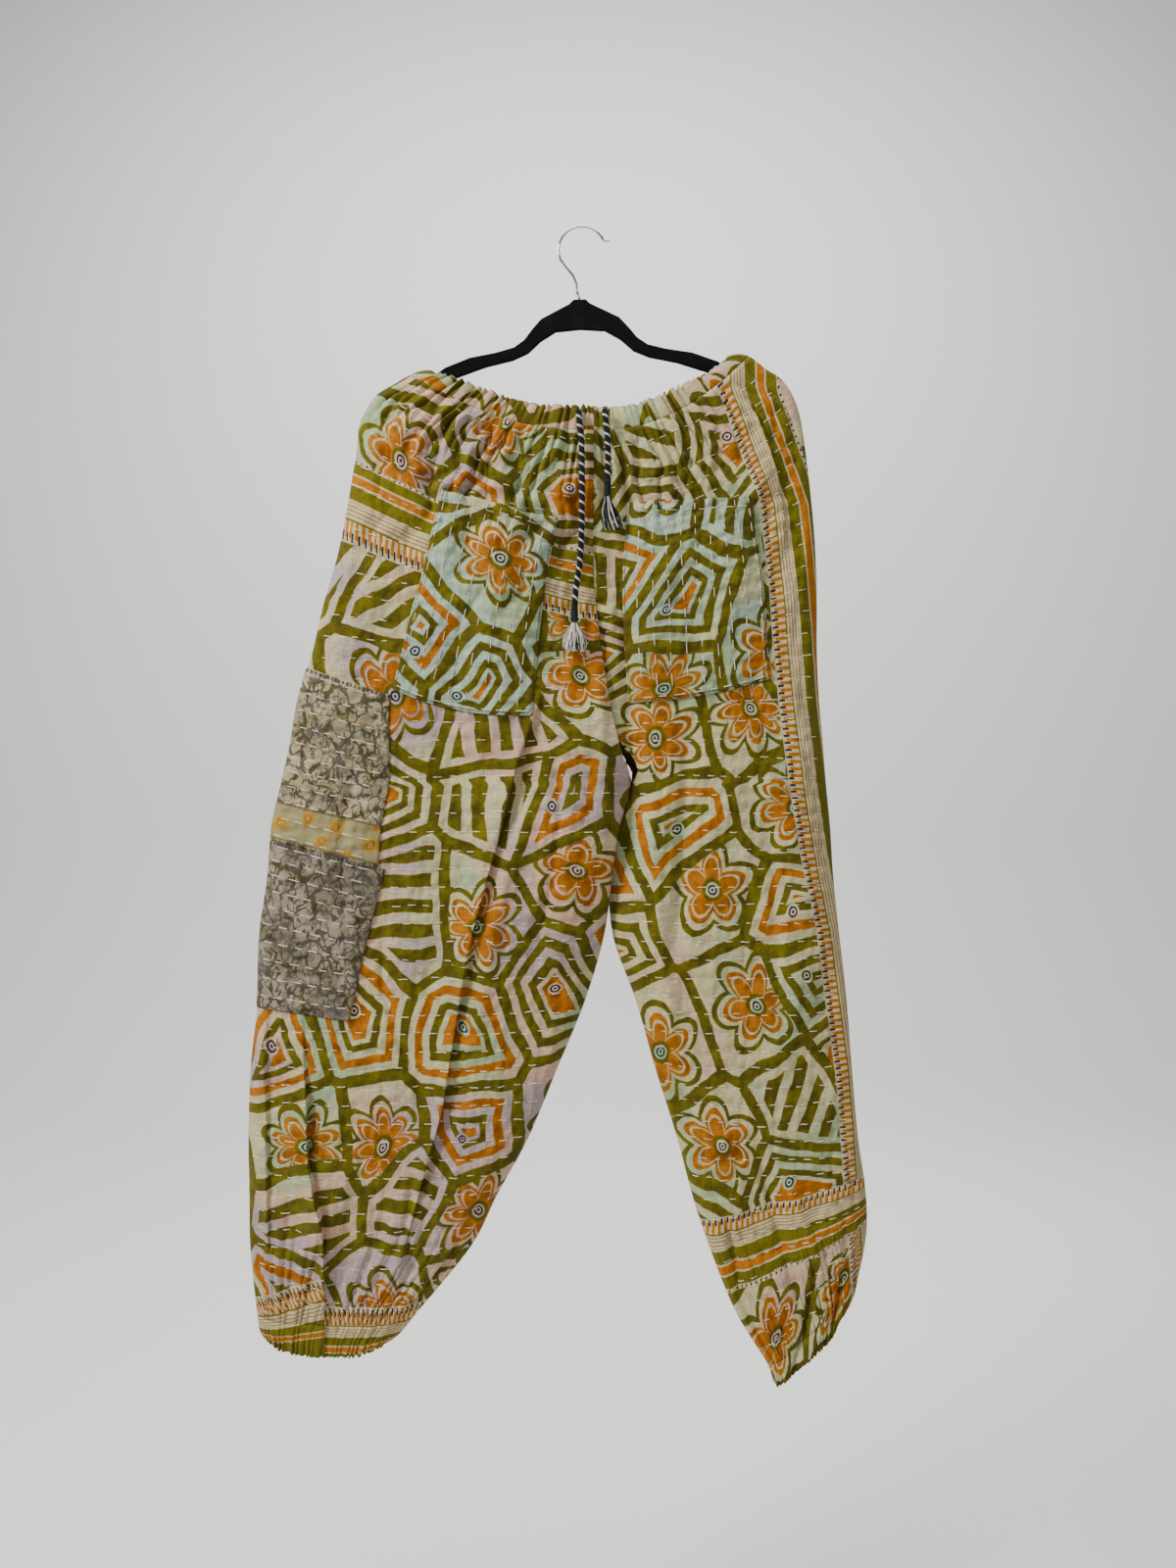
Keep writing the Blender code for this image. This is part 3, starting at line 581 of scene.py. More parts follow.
def plainCloth(side, face, u, v):
    at = readLevels(side, v)
    x = at["outerX"] + (at["innerX"] - at["outerX"]) * u
    drop = 1 - (1 - u) ** at["bow"]
    z = at["outerZ"] + (at["innerZ"] - at["outerZ"]) * drop - at["sag"] * 4 * u * (1 - u)
    width = np.hypot(at["innerX"] - at["outerX"], at["innerZ"] - at["outerZ"])
    seam = readLevels("right", v)["innerZ"] - levels["right"][crotch, columns.index("innerZ")]
    edge = np.where(v < crotch, rounded(seam, crotchRise), 0.0)
    swell = rounded(u * width, at["side"]) * (edge + (1 - edge) * rounded((1 - u) * width, at["side"]))
    y = at["shift"] * u * u + faceSign[face] * at[face] * swell
    return np.stack([x, y, z], -1)


def outwards(side, face, u, v):
    # The direction off the cloth, from neighbouring points.
    du, dv = 0.002, 0.02
    a = plainCloth(side, face, np.maximum(u - du, 0), v)
    b = plainCloth(side, face, np.minimum(u + du, 1), v)
    c = plainCloth(side, face, u, np.maximum(v - dv, 0))
    d = plainCloth(side, face, u, np.minimum(v + dv, hem))
    way = np.cross(b - a, d - c) * (sideSign[side] * faceSign[face])
    atSide = (u <= 0) | ((u >= 1) & (v > crotch))
    way[..., 1] = np.where(atSide, 0, way[..., 1])
    return way / np.maximum(np.linalg.norm(way, axis=-1, keepdims=True), 1e-9)


def lineDistance(points, x, z):
    best = np.full(x.shape, 1e9)
    hand, share = np.zeros(x.shape), np.zeros(x.shape)
    count = len(points) - 1
    for i, ((x0, z0), (x1, z1)) in enumerate(zip(points, points[1:])):
        run = (x1 - x0) ** 2 + (z1 - z0) ** 2
        t = np.clip(((x - x0) * (x1 - x0) + (z - z0) * (z1 - z0)) / run, 0, 1)
        dx, dz = x - x0 - t * (x1 - x0), z - z0 - t * (z1 - z0)
        off = np.hypot(dx, dz)
        closer = off < best
        best = np.where(closer, off, best)
        hand = np.where(closer, np.sign((x1 - x0) * dz - (z1 - z0) * dx), hand)
        share = np.where(closer, (i + t) / count, share)
    return best, hand, share


def creaseHeight(panel, x, z):
    # Height of the folds, and how far a flap's edge slides over the cloth beside it.
    height, slide = np.zeros(x.shape), np.zeros(x.shape)
    rows = [row for where, rows in creases.items() if panel.startswith(where) for row in rows]
    for kind, size, width, points in rows:
        off, hand, share = lineDistance(points, x, z)
        fade = smooth(share * 4) * smooth((1 - share) * 4)
        if kind == "flap":
            over = size * np.clip(1 - off / width, 0, 1) ** 1.5
            under = -0.4 * size * np.exp(-off / (0.3 * width))
            lean = smooth(0.5 + hand * off / 2.0)  # 0 on the flap, 1 beside it
            height += fade * (over * (1 - lean) + under * lean)
            slide += fade * 0.55 * size * np.clip(1 - off / (0.6 * width), 0, 1) * (1 - lean)
        else:
            shape = size / (1 + (off / width) ** 2) ** 2
            height += fade * shape * (1 if kind == "ridge" else -1)
    return height, slide


def waves(seed, count, short, long, stretch):
    # Directions and phases for a sum of sines that looks uneven; stretch makes it run downwards.
    own = np.random.default_rng(seed)
    pitch = 2 * pi / np.exp(own.uniform(np.log(short), np.log(long), count))
    angle = own.uniform(0, 2 * pi, count)
    return pitch * np.cos(angle), pitch * np.sin(angle) / stretch, own.uniform(0, 2 * pi, count)


def uneven(table, x, z):
    return sum(np.sin(a * x + b * z + c) for a, b, c in zip(*table)) / len(table[0]) ** 0.5


# The cloth's unevenness, in mm: broad, middling and fine, its thin creases with how near to the
# zero line they lie, and how far from a seam all of it fades.
relief = {
    "wide": 2.0, "middle": 1.25, "fine": 0.60, "crease": 1.1, "creaseWidth": 0.13,
    "sideFade": 16, "inseamFade": 14,
}
wideWaves = waves(5, 9, 70, 170, 2.6)
middleWaves = waves(8, 12, 24, 60, 2.0)
fineWaves = waves(9, 14, 8, 18, 1.0)
creaseWaves = waves(21, 7, 70, 150, 3.0)  # thin creases run where this sum is zero


def gatherHeight(side, face, u, v):
    # Fine gathers at the casing run together into fewer, larger folds below it.
    shift = {"front": 0.4, "back": 2.1}[face] + sideSign[side]
    edge = smooth(u / 0.05) * smooth((1 - u) / 0.05)
    warp = u + 0.018 * np.sin(9.4 * u + shift) * np.sin(pi * u) + 0.006 * np.sin(31 * u + 2 * shift)
    own = 0.72 + 0.28 * np.sin(14.3 * u * pi + shift) * np.sin(5.1 * u * pi + 0.4 * v + shift)

    def ridges(kind, phase):
        # Rounded crests of uneven width and height between narrow valleys.
        count, sharp, rows, shows = ridgeRows[kind]
        turn = count * warp + phase + 0.22 * np.sin(2.3 * count * u + 1.1 * v + shift)
        tall = 0.64 + 0.36 * np.sin(12.9898 * np.floor(turn) + 4.1 * shift)
        return (2 * tall * np.abs(np.sin(pi * turn)) ** sharp - 1.2) * np.interp(v, rows, shows)

    lean = 0.35 * np.sin(3 * v + 5 * u)
    folds = 0.6 * ridges("half", 0.6 + lean * 0.3) + 0.7 * ridges("long", shift + lean * 0.5)
    folds = folds * (0.75 + 0.25 * own) * smooth((1 - u) / 0.1)
    height = gathers["casing"] * ridges("casing", 0.0) * own + gathers["folds"] * folds
    height = height + gathers["cuff"] * ridges("cuff", 0.4) * own + gathers["shin"] * ridges("shin", shift)
    return height * edge


quilt = {"pitch": 17.3, "dash": 8.6, "gap": 6.9, "groove": 1.0, "half": 2.4}
# The cloth laid flat, by level: gathered cloth is wider than what shows, above the hips' level and
# below the shin's, where it keeps a share of the width there.
flatCloth = {"hips": 7, "shin": 21, "share": 0.84, "turned": 12, "apart": 420, "top": 100}
flatRows = np.linspace(0, hem, 481)
flatWidths, flatHeights = {}, {}
for sideName in levels:
    at = readLevels(sideName, flatRows)
    arcs = np.hypot(at["innerX"] - at["outerX"], at["innerZ"] - at["outerZ"]) + flatCloth["turned"]
    arcs = arcs + np.where(flatRows > crotch, flatCloth["turned"], 0)
    hips, shin = (np.interp(flatCloth[row], flatRows, arcs) for row in ("hips", "shin"))
    widths = np.where(flatRows < flatCloth["hips"], np.maximum(arcs, hips), arcs)
    shins = np.maximum(arcs, flatCloth["share"] * shin)
    flatWidths[sideName] = np.where(flatRows > flatCloth["shin"], shins, widths)
    flatHeights[sideName] = -(0.4 * at["outerZ"] + 0.6 * at["innerZ"]) - flatCloth["top"]


def flatPlace(side, u, v):
    # Where a point of the garment lies on the cloth before it was sewn and gathered.
    inward = sideSign[side] * (1 - u) * np.interp(v, flatRows, flatWidths[side])
    x = readLevels(side, v)["innerX"] - inward + flatCloth["apart"]
    return x, np.interp(v, flatRows, flatHeights[side])


def cloth(side, face, u, v, out=0.0):
    # A panel's finished surface with its folds, gathers and quilting.
    u, v = np.broadcast_arrays(np.asarray(u, float), np.asarray(v, float))
    base = plainCloth(side, face, u, v)
    way = outwards(side, face, u, v)
    x, z = base[..., 0], base[..., 2]
    at = readLevels(side, v)
    width = np.abs(at["innerX"] - at["outerX"])
    inEdge = np.where(v > crotch, smooth((1 - u) * width / relief["inseamFade"]), 1.0)
    edge = smooth(u * width / relief["sideFade"]) * inEdge
    seed = {"front": 0, "back": 400}[face]
    body = smooth((v - 2) / 4) * smooth((23 - v) / 2)
    folds, slide = creaseHeight(f"{face}_{side}", x, z)
    height = edge * (folds + relief["wide"] * body * uneven(wideWaves, x + seed, z))
    thin = relief["crease"] * np.exp(-(uneven(creaseWaves, x + seed, z) / relief["creaseWidth"]) ** 2)
    height = height - edge * body * thin * (0.5 + 0.5 * uneven(middleWaves, x, z + seed))
    height = height + edge * body * relief["middle"] * uneven(middleWaves, x + seed, z)
    row = flatPlace(side, u, v)[1] / quilt["pitch"]
    off = ((row + 0.5) % 1 - 0.5) * quilt["pitch"]
    groove = -quilt["groove"] * np.exp(-(off / quilt["half"]) ** 2)
    grain = groove + relief["fine"] * uneven(fineWaves, x + seed, z)
    height = height + edge * grain * smooth((v - 1) / 2) + gatherHeight(side, face, u, v)
    made = base + way * (height + out)[..., None]
    made[..., 0] += edge * slide
    return made


# ---- meshes ----


def addMesh(name, points, faces, material, uv=None, attributes=None):
    mesh = bpy.data.meshes.new(name)
    mesh.from_pydata((np.asarray(points) * mm).tolist(), [], faces)
    mesh.polygons.foreach_set("use_smooth", [True] * len(mesh.polygons))
    if uv is not None:
        layer = mesh.uv_layers.new(name="cloth")
        at = np.empty(len(mesh.loops), int)
        mesh.loops.foreach_get("vertex_index", at)
        layer.uv.foreach_set("vector", (uv[at] * mm / flatScale).astype(np.float32).ravel())
    for key, values in (attributes or {}).items():
        layer = mesh.attributes.new(key, "FLOAT", "POINT")
        layer.data.foreach_set("value", np.asarray(values, np.float32))
    mesh.materials.append(material)
    return addObject(name, mesh)


def outward(faces, a, b, c, inside):
    # The faces as they are, or turned over where the one through a, b and c looks inwards.
    inwards = np.cross(b - a, c - a) @ (a - inside) < 0
    return [face[::-1] for face in faces] if inwards else faces


def gridFaces(rows, cols, first=0):
    at = first + np.arange(rows * cols).reshape(rows, cols)
    return np.stack([at[:-1, :-1], at[1:, :-1], at[1:, 1:], at[:-1, 1:]], -1).reshape(-1, 4)


def clothWall(name, outer, inner, flat, material, marks, every=4):
    # A closed wall: a fine outer grid, an inner one with every fourth point, and the rim between.
    rows, cols = outer.shape[:2]
    few = inner[::every, ::every]
    count = rows * cols
    points = np.concatenate([outer.reshape(-1, 3), few.reshape(-1, 3)])
    uv = np.concatenate([flat.reshape(-1, 2), flat[::every, ::every].reshape(-1, 2)])
    marks = {
        key: np.concatenate([values.ravel(), values[::every, ::every].ravel()])
        for key, values in marks.items()
    }
    outerAt = np.arange(count).reshape(rows, cols)
    innerAt = count + np.arange(few.shape[0] * few.shape[1]).reshape(few.shape[:2])
    faces = gridFaces(rows, cols).tolist() + gridFaces(*few.shape[:2], first=count)[:, ::-1].tolist()
    sides = [(at[0], at[:, -1], at[-1, ::-1], at[::-1, 0]) for at in (outerAt, innerAt)]
    half = every // 2
    for fine, coarse in zip(*sides):
        fine, coarse = fine.tolist(), coarse.tolist()
        for k, (a, b) in enumerate(zip(coarse, coarse[1:])):
            edge = fine[k * every : (k + 1) * every + 1]
            for m in range(every):
                if m == half:
                    faces.append((edge[half], b, a))
                faces.append((edge[m], edge[m + 1], a if m < half else b))
    i, j = rows // 2, cols // 2
    faces = outward(faces, outer[i, j], outer[i + 1, j], outer[i, j + 1], inner[i, j])
    return addMesh(name, points, faces, material, uv, marks)


def spans(grid):
    # The mean width and length of a grid of points, in metres.
    across, down = (np.linalg.norm(np.diff(grid, axis=k), axis=-1).sum(k).mean() for k in (1, 0))
    return float(across) * mm, float(down) * mm


def finishPiece(piece, slot, *nodes):
    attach(piece, "root")
    if nodes:
        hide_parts(*nodes)


# ---- drawstring and tassels ----

# The free ends of the drawstring: the route as (x, y, z), the bound head, the strands' length and
# spread, and how many of them are black and white.
drawstrings = {
    "right": {
        "route": ((-3, -29.4, -187), (-2.5, -31.4, -197), (-0.5, -32, -215), (0, -32, -245),
                  (0, -32, -285), (-1.5, -32, -325), (-5, -32, -351), (-7, -32, -369)),
        "head": 18, "strands": 27, "spread": 10.5, "black": 30, "white": 62, "lean": 0.0,
    },
    "left": {
        "route": ((21.5, -29.4, -186), (22.5, -31.4, -196), (24, -32, -212), (24.5, -32, -230),
                  (24, -32, -251)),
        "head": 17, "strands": 31, "spread": 9.0, "black": 74, "white": 14, "lean": 6.0,
    },
}
rope = {"thick": 6.3, "pitch": 9.0, "ring": 0.7, "around": 24}


def smoothPath(points, count):
    points = np.array(points, float)
    return smoothRows(points, np.linspace(0, len(points) - 1, count))


def runAlong(path):
    # How far each point lies from the path's start.
    return np.concatenate([[0], np.cumsum(np.linalg.norm(np.diff(path, axis=0), axis=1))])


def pathFrames(path):
    way = np.gradient(path, axis=0)
    way /= np.linalg.norm(way, axis=1, keepdims=True)
    side = np.cross(way, (0.0, 1.0, 0.0))
    side /= np.linalg.norm(side, axis=1, keepdims=True)
    return side, np.cross(side, way)


def tube(name, path, radius, around, material, marks=None):
    # A round tube with shut ends; radius may differ from point to point of its surface.
    side, other = pathFrames(path)
    angle = (2 * pi * np.arange(around) / around)[:, None]
    radius = np.broadcast_to(np.asarray(radius, float), (len(path), around))[..., None]
    ring = side[:, None] * np.cos(angle) + other[:, None] * np.sin(angle)
    points = path[:, None] + radius * ring
    count = len(path)
    at = np.arange(count * around).reshape(count, around)
    across = np.roll(at, -1, 1)
    faces = np.stack([at[:-1], across[:-1], across[1:], at[1:]], -1).reshape(-1, 4).tolist()
    first, last = count * around, count * around + 1
    faces += [(int(across[0, k]), int(at[0, k]), first) for k in range(around)]
    faces += [(int(at[-1, k]), int(across[-1, k]), last) for k in range(around)]
    faces = outward(faces, points[1, 0], points[1, 1], points[2, 0], path[1])
    points = np.concatenate([points.reshape(-1, 3), path[[0]], path[[-1]]])
    marks = {key: np.concatenate([value.ravel(), [0.0, 0.0]]) for key, value in (marks or {}).items()}
    return addMesh(name, points, faces, material, None, marks)


def twistedCotton():
    # Three plies, one of them white; plyX and plyY turn with the twist.
    made, n, shader = newMaterial("twistedCotton", 0.85, sheen=0.04)
    plyX, place = n.attribute("plyX"), n.place()
    angle = n.math("ARCTAN2", n.attribute("plyY"), plyX)
    yarn = n.math("SINE", angle * 15.0 + n.attribute("run") * 2.4)
    dark = n.mix(n.noise(place, 500, 2), srgb(10, 10, 12), srgb(26, 26, 30))
    pale = n.mix(n.noise(place, 420, 2), srgb(236, 232, 220), srgb(196, 192, 180))
    normal = n.bump(yarn + n.noise(place, 1800, 2) * 1.4, 0.00022, 0.8)
    n.fed(shader, {"Base Color": n.mix(n.step(plyX, 0.66, 0.78), dark, pale), "Normal": normal})
    return made


def buildDrawstring(side, look):
    route = drawstrings[side]["route"]
    path = smoothPath(route, int(runAlong(smoothPath(route, 40))[-1] / rope["ring"]))
    run = runAlong(path)
    theta = 2 * pi * np.arange(rope["around"]) / rope["around"]
    ply = theta[None, :] - 2 * pi * run[:, None] / rope["pitch"]
    radius = rope["thick"] / 2 * (0.70 + 0.24 * np.abs(np.cos(1.5 * ply)) ** 0.6)
    marks = {"plyX": np.cos(ply), "plyY": np.sin(ply), "run": np.broadcast_to(run[:, None], ply.shape)}
    piece = tube(f"cord_{side}", path, radius, rope["around"], look, marks)
    finishPiece(piece, "cord_cotton", f"drawstring_{side}")
    return piece, path, float(run[-1])


# Heads in mm: radius, how much the whipping stands out on it, its pitch and how finely it is drawn.
whipping = {"radius": 3.05, "stand": 0.35, "pitch": 0.85, "step": 0.13, "around": 28}
strand = {"thick": 0.8, "sides": 5, "uneven": 0.2, "points": 8, "hidden": 2.5, "bend": 0.7}


def buildTassel(side, looks):
    row = drawstrings[side]
    x, y, z = row["route"][-1]
    top, low = z - 0.3, z - 0.3 - row["head"]
    heights = np.linspace(top, low, int(row["head"] / whipping["step"]))
    path = np.stack([np.full(heights.shape, x), np.full(heights.shape, y), heights], -1)
    turns = np.abs(np.sin(pi * (top - heights) / whipping["pitch"])) ** 0.6
    rings = whipping["radius"] + whipping["stand"] * turns
    pieces = [tube(f"whipping_{side}", path, rings[:, None], whipping["around"], looks["black"])]
    finishPiece(pieces[0], "cord_cotton", f"tassel_{side}")
    for colour in ("black", "white"):
        lines = []
        for k in range(row[colour]):
            angle, share = rng.uniform(0, 2 * pi), rng.uniform(0.05, 1) ** 0.5
            if colour == "white" and side == "right":
                angle = rng.uniform(pi, 2 * pi)  # white lies over black in front
            out = np.array([cos(angle), 0.5 * sin(angle), 0.0])
            long = row["strands"] * rng.uniform(0.84, 1.06) + strand["hidden"]
            points = []
            for t in np.linspace(0, 1, strand["points"]):
                spread = strand["hidden"] * share
                spread += (row["spread"] - 1.5) * share * smooth(t * 1.25) ** 1.1
                place = np.array([x, y, low + strand["hidden"]]) + out * spread
                place += np.array([row["lean"] * t * t, 0, -long * t])
                sway = np.array([sin(7 * t + k), 0.5 * cos(5 * t + 2 * k), 0])
                points.append(place + sway * strand["bend"] * t)
            lines.append(points)
        made = addThreads(f"strands_{colour}_{side}", lines, strand, looks[colour])
        finishPiece(made, "cord_cotton")
        pieces.append(made)
    return pieces


# ---- panels, casing and cuffs ----

# The border that runs down the left leg's side: the line of its inner ticks as (z, x).
sideBorder = ((-160, 130), (-215, 150), (-271, 171), (-354, 180), (-410, 184), (-466, 189), (-541, 199),
              (-607, 210), (-682, 226), (-748, 235), (-813, 244), (-873, 249), (-911, 251), (-1050, 262))


def borderMarks(side, face, u, v, points):
    # How far each point lies across each border, in mm; far outside where it has none. Borders
    # start at a level that may slant over u, and take from 1 to 1.5 levels of the cloth.
    away = np.full(u.shape, -50.0)
    marks = {"hemBorder": away, "hipBorder": away, "sideBorder": away}
    if side == "left":
        marks["hemBorder"] = (21.70 + 0.13 * u - v) / (1.02 - 0.24 * u) * borderWidth
        if face == "front":
            z, line = zip(*sideBorder[::-1])
            marks["sideBorder"] = 64 - (points[..., 0] - np.interp(points[..., 2], z, line)) * 1.05
    elif face == "front":  # its hem's border slants up to the flap and lies level beside it
        start = np.where(plainCloth(side, face, u, v)[..., 0] > -247, 22.70, 22.68 - 1.1 * u)
        across = borderWidth - (v - start) / 1.45 * borderWidth
        marks["hemBorder"] = np.maximum(across, 6.0)  # olive down to the hem
        marks["hipBorder"] = (v - 6.45 - 0.9 * u) * 30
    else:
        marks["hemBorder"] = borderWidth - (v - 21.75) / 1.45 * borderWidth
        marks["hipBorder"] = (v - 7.2 - 0.5 * u) * 30
    return marks


sideEdge, hipEdge, hemEdge = ("sideBorder", True), ("hipBorder", False), ("hemBorder", False)
# For each cut: the tints of its ground, its place on the print and its turn there, its borders and
# whether it is stitched round its rim.
printCuts = {
    "front_right": ("cream pink lilac sage", (0.31, 0.07), 0.0, (hipEdge, hemEdge)),
    "front_left": ("cream cream sage pink", (1.13, 0.52), 0.35, (sideEdge, hemEdge)),
    "back_right": ("cream sage pink lilac", (2.27, 1.31), -0.2, (hipEdge, hemEdge)),
    "back_left": ("cream pink sage cream", (3.41, 2.63), 0.15, (hemEdge,)),
    "casing": ("cream pink cream sage", (0.62, 0.93)),
    "pocket": ("aqua sage aqua cream", (4.3, 1.9), 0.9, (), True),
}
clothLooks = {
    name: printedCotton("print" + name.title().replace("_", ""), tints.split(), *rest)
    for name, (tints, *rest) in printCuts.items()
}
clothLooks.update({name: crackledCotton(name) for name in ("upper", "lower")})
wall = {"panel": 2.0, "casing": 3.6, "cuff": 3.2, "rows": 305, "columns": 225}


def evenLevels(side, low, high, count):
    # Levels spaced evenly down the cloth.
    ends = np.interp((low, high), flatRows, flatHeights[side])
    return np.interp(np.linspace(*ends, count), flatHeights[side], flatRows)


def buildPanel(side, face):
    u, v = np.meshgrid(
        np.linspace(0, 1, wall["columns"]), evenLevels(side, 1.0, cuffSeam, wall["rows"])
    )
    outer = cloth(side, face, u, v)
    inner = outer - outwards(side, face, u, v) * wall["panel"]
    name = f"{face}_{side}"
    flat = np.stack(flatPlace(side, u, v), -1)
    marks = borderMarks(side, face, u, v, outer)
    made = clothWall(f"cloth_{name}", outer, inner, flat, clothLooks[name], marks)
    finishPiece(made, "printed_cotton", *(f"{name}_{band}" for band in ("seat", "thigh", "shin")))
    return made


# The ruffled edges: how much the gathers raise and push them out, and the droop of the edge in
# its middle.
ruffles = {
    "casing": {"rise": 0.48, "out": 0.5, "droop": {"right": 0, "left": 0}},
    "cuff": {"rise": 0.5, "out": 0.8, "droop": {"right": 9, "left": 2}},
}


def foldedEdge(side, face, seamAt, edgeAt, thick, bulge, up, ruffle):
    # Cross-sections of folded cloth: up the outside, over the ruffled edge and down the inside.
    u = np.linspace(0, 1, wall["columns"])
    ridge = gatherHeight(side, face, u, np.full(u.shape, float(edgeAt)))
    ridge = ridge * (0.75 + 0.35 * np.sin(23 * u + 2 * faceSign[face]))
    steps = []  # level, distance off the cloth, rise at the edge
    for t in np.linspace(0, 1, 12):
        steps.append((t, bulge * sin(pi * t), 0.0))
    for share, rise in ((0.2, 0.30), (0.5, 0.45), (0.8, 0.30)):
        steps.append((1.0, -share * thick, rise * thick))
    for t in np.linspace(1, 0, 6):
        steps.append((t, -thick - 0.3 * bulge * sin(pi * t), 0.0))
    rows, flats, levelsAt = [], [], []
    for t, off, rise in steps:
        v = np.full(u.shape, seamAt + (edgeAt - seamAt) * t)
        near = float(smooth((t - 0.35) / 0.65))
        row = cloth(side, face, u, v, off + near * ruffle["out"] * ridge)
        row[:, 2] += up * (rise + near * ruffle["rise"] * ridge)
        row[:, 2] -= near * ruffle["droop"][side] * 4 * u * (1 - u)
        rows.append(row)
        x, y = flatPlace(side, u, v)
        flats.append(np.stack([x, y + (0 if off >= 0 else 40)], -1))
        levelsAt.append(v)
    return np.array(rows), np.array(flats), np.array(levelsAt), np.broadcast_to(u, (len(rows), len(u)))


def closedBand(name, rows, flat, material, marks=None):
    # A closed band from rings of the same length, with both of its ends shut.
    count, columns = rows.shape[:2]
    at = np.arange(count * columns).reshape(count, columns)
    nextRow = np.roll(at, -1, 0)
    faces = np.stack([at[:, :-1], nextRow[:, :-1], nextRow[:, 1:], at[:, 1:]], -1).reshape(-1, 4).tolist()
    for column, flip in ((0, 1), (-1, -1)):
        ring = at[:, column].tolist()
        for k in range((count - 1) // 2):
            a, b, c, d = ring[k], ring[k + 1], ring[count - 2 - k], ring[count - 1 - k]
            face = (d, c, b, a) if b != c else (d, b, a)
            faces.append(face[::flip])
    middle = columns // 2
    faces = outward(faces, rows[5, middle], rows[6, middle], rows[5, middle + 1], rows.mean(0)[middle])
    return addMesh(name, rows.reshape(-1, 3), faces, material, flat.reshape(-1, 2), marks)


def buildCasing(face):
    right, left = (
        foldedEdge(side, face, 1.0, 0.0, wall["casing"], 1.3, 1, ruffles["casing"]) for side in levels
    )
    rows, flat = (np.concatenate([right[k], left[k][:, -2::-1]], 1) for k in (0, 1))
    made = closedBand(f"casing_{face}", rows, flat, clothLooks["casing"])
    finishPiece(made, "printed_cotton", f"waist_casing_{face}")
    return made


def buildCuff(side, face):
    rows, flat, v, u = foldedEdge(side, face, cuffSeam, hem, wall["cuff"], 1.0, -1, ruffles["cuff"])
    marks = {key: value.ravel() for key, value in borderMarks(side, face, u, v, rows).items()}
    made = closedBand(f"cuffBand_{side}_{face}", rows, flat, clothLooks[f"{face}_{side}"], marks)
    finishPiece(made, "printed_cotton", f"cuff_{side}_{face}")
    return made


# What is sewn onto the front panels. Each kind has its slot, its wall, its rise off the panel, how
# far its sewn edges are pressed down and over which share from the outer side, the inner side, the
# top and the bottom, and the columns and rows of its grid with how they crowd to the outer side.
sewnKinds = {
    "pocket": {
        "slot": "plain_cotton", "wall": 1.6, "rise": 0.9, "press": 0.7,
        "edges": (0.02, 0.02, None, 0.02), "grid": (101, 113), "crowd": 1.0,
    },
    "patch": {
        "slot": "patch_cotton", "wall": 1.0, "rise": 1.1, "press": 0.6,
        "edges": (None, 0.04, 0.025, 0.025), "grid": (61, 105), "crowd": 1.25,
    },
}
# Each piece: its kind, look, leg and CAD node, how its mouth gapes and its bottom droops, and its
# corners as (u, v), from the outer top one round.
sewnColumns = "kind look side node mouth droop corners".split()
sewnOn = {name: dict(zip(sewnColumns, row)) for name, row in {
    "pocket_right": ("pocket", "pocket", "right", "pocket_right", 8.5, 0.2,
                     ((0.38, 6.21), (0.856, 6.16), (0.747, 12.22), (0.307, 11.68))),
    "pocket_left": ("pocket", "pocket", "left", "pocket_left", 13.0, 0.1,
                    ((0.278, 7.24), (0.837, 5.42), (0.913, 11.88), (0.24, 11.54))),
    "side_upper": ("patch", "upper", "right", "side_patch_upper", 0.0, 0.0,
                   ((0.008, 11.32), (0.305, 11.83), (0.33, 15.74), (0.008, 15.22))),
    "side_lower": ("patch", "lower", "right", "side_patch_lower", 0.0, 0.0,
                   ((0.008, 15.24), (0.350, 15.77), (0.297, 18.2), (0.008, 18.07))),
}.items()}


def sewnPlace(name, s, t):
    row = sewnOn[name]
    a, b, c, d = row["corners"]
    u, v = ((1 - t) * ((1 - s) * a[k] + s * b[k]) + t * ((1 - s) * d[k] + s * c[k]) for k in (0, 1))
    return u, v + row["droop"] * t * 4 * s * (1 - s)


def sewnCloth(name, s, t, out=0.0):
    row = sewnOn[name]
    kind = sewnKinds[row["kind"]]
    lift = kind["rise"] + kind["wall"]
    if row["mouth"]:  # it gapes and has a hem folded over at the top
        gape = np.sin(pi * np.clip(s, 0, 1)) ** 0.7 * np.cos(pi * np.clip(t, 0, 1) / 2) ** 0.8
        lift = lift + row["mouth"] * gape + 0.5 * smooth((0.075 - t) / 0.012)
    shares = zip((s, 1 - s, t, 1 - t), kind["edges"])
    roll = np.minimum.reduce([smooth(share / width) for share, width in shares if width])
    place = sewnPlace(name, s, t)
    return cloth(row["side"], "front", *place, lift - kind["press"] * (1 - roll) + out)


def buildSewn(name):
    row = sewnOn[name]
    kind = sewnKinds[row["kind"]]
    across, down = (np.linspace(0, 1, count) for count in kind["grid"])
    s, t = np.meshgrid(across ** kind["crowd"], down)
    outer = sewnCloth(name, s, t)
    u, v = sewnPlace(name, s, t)
    inner = outer - outwards(row["side"], "front", u, v) * kind["wall"]
    flat = np.stack(flatPlace(row["side"], u, v), -1)
    cut = spans(outer)
    if row["kind"] == "pocket":
        marks = {"rim": np.minimum(np.minimum(s, 1 - s) * cut[0], (1 - t) * cut[1]) / mm}
    else:
        tall = outer[0, :, 2] - outer[-1, :, 2]
        marks = {"hem": (1 - t) * tall, "top": t * tall}
    made = clothWall(f"{name}_cloth", outer, inner, flat, clothLooks[row["look"]], marks)
    finishPiece(made, kind["slot"], row["node"])
    return made, cut


# ---- running stitch ----

thread = {"thick": 0.85, "sides": 4, "uneven": 0.25, "sink": 0.30, "stand": 0.36}


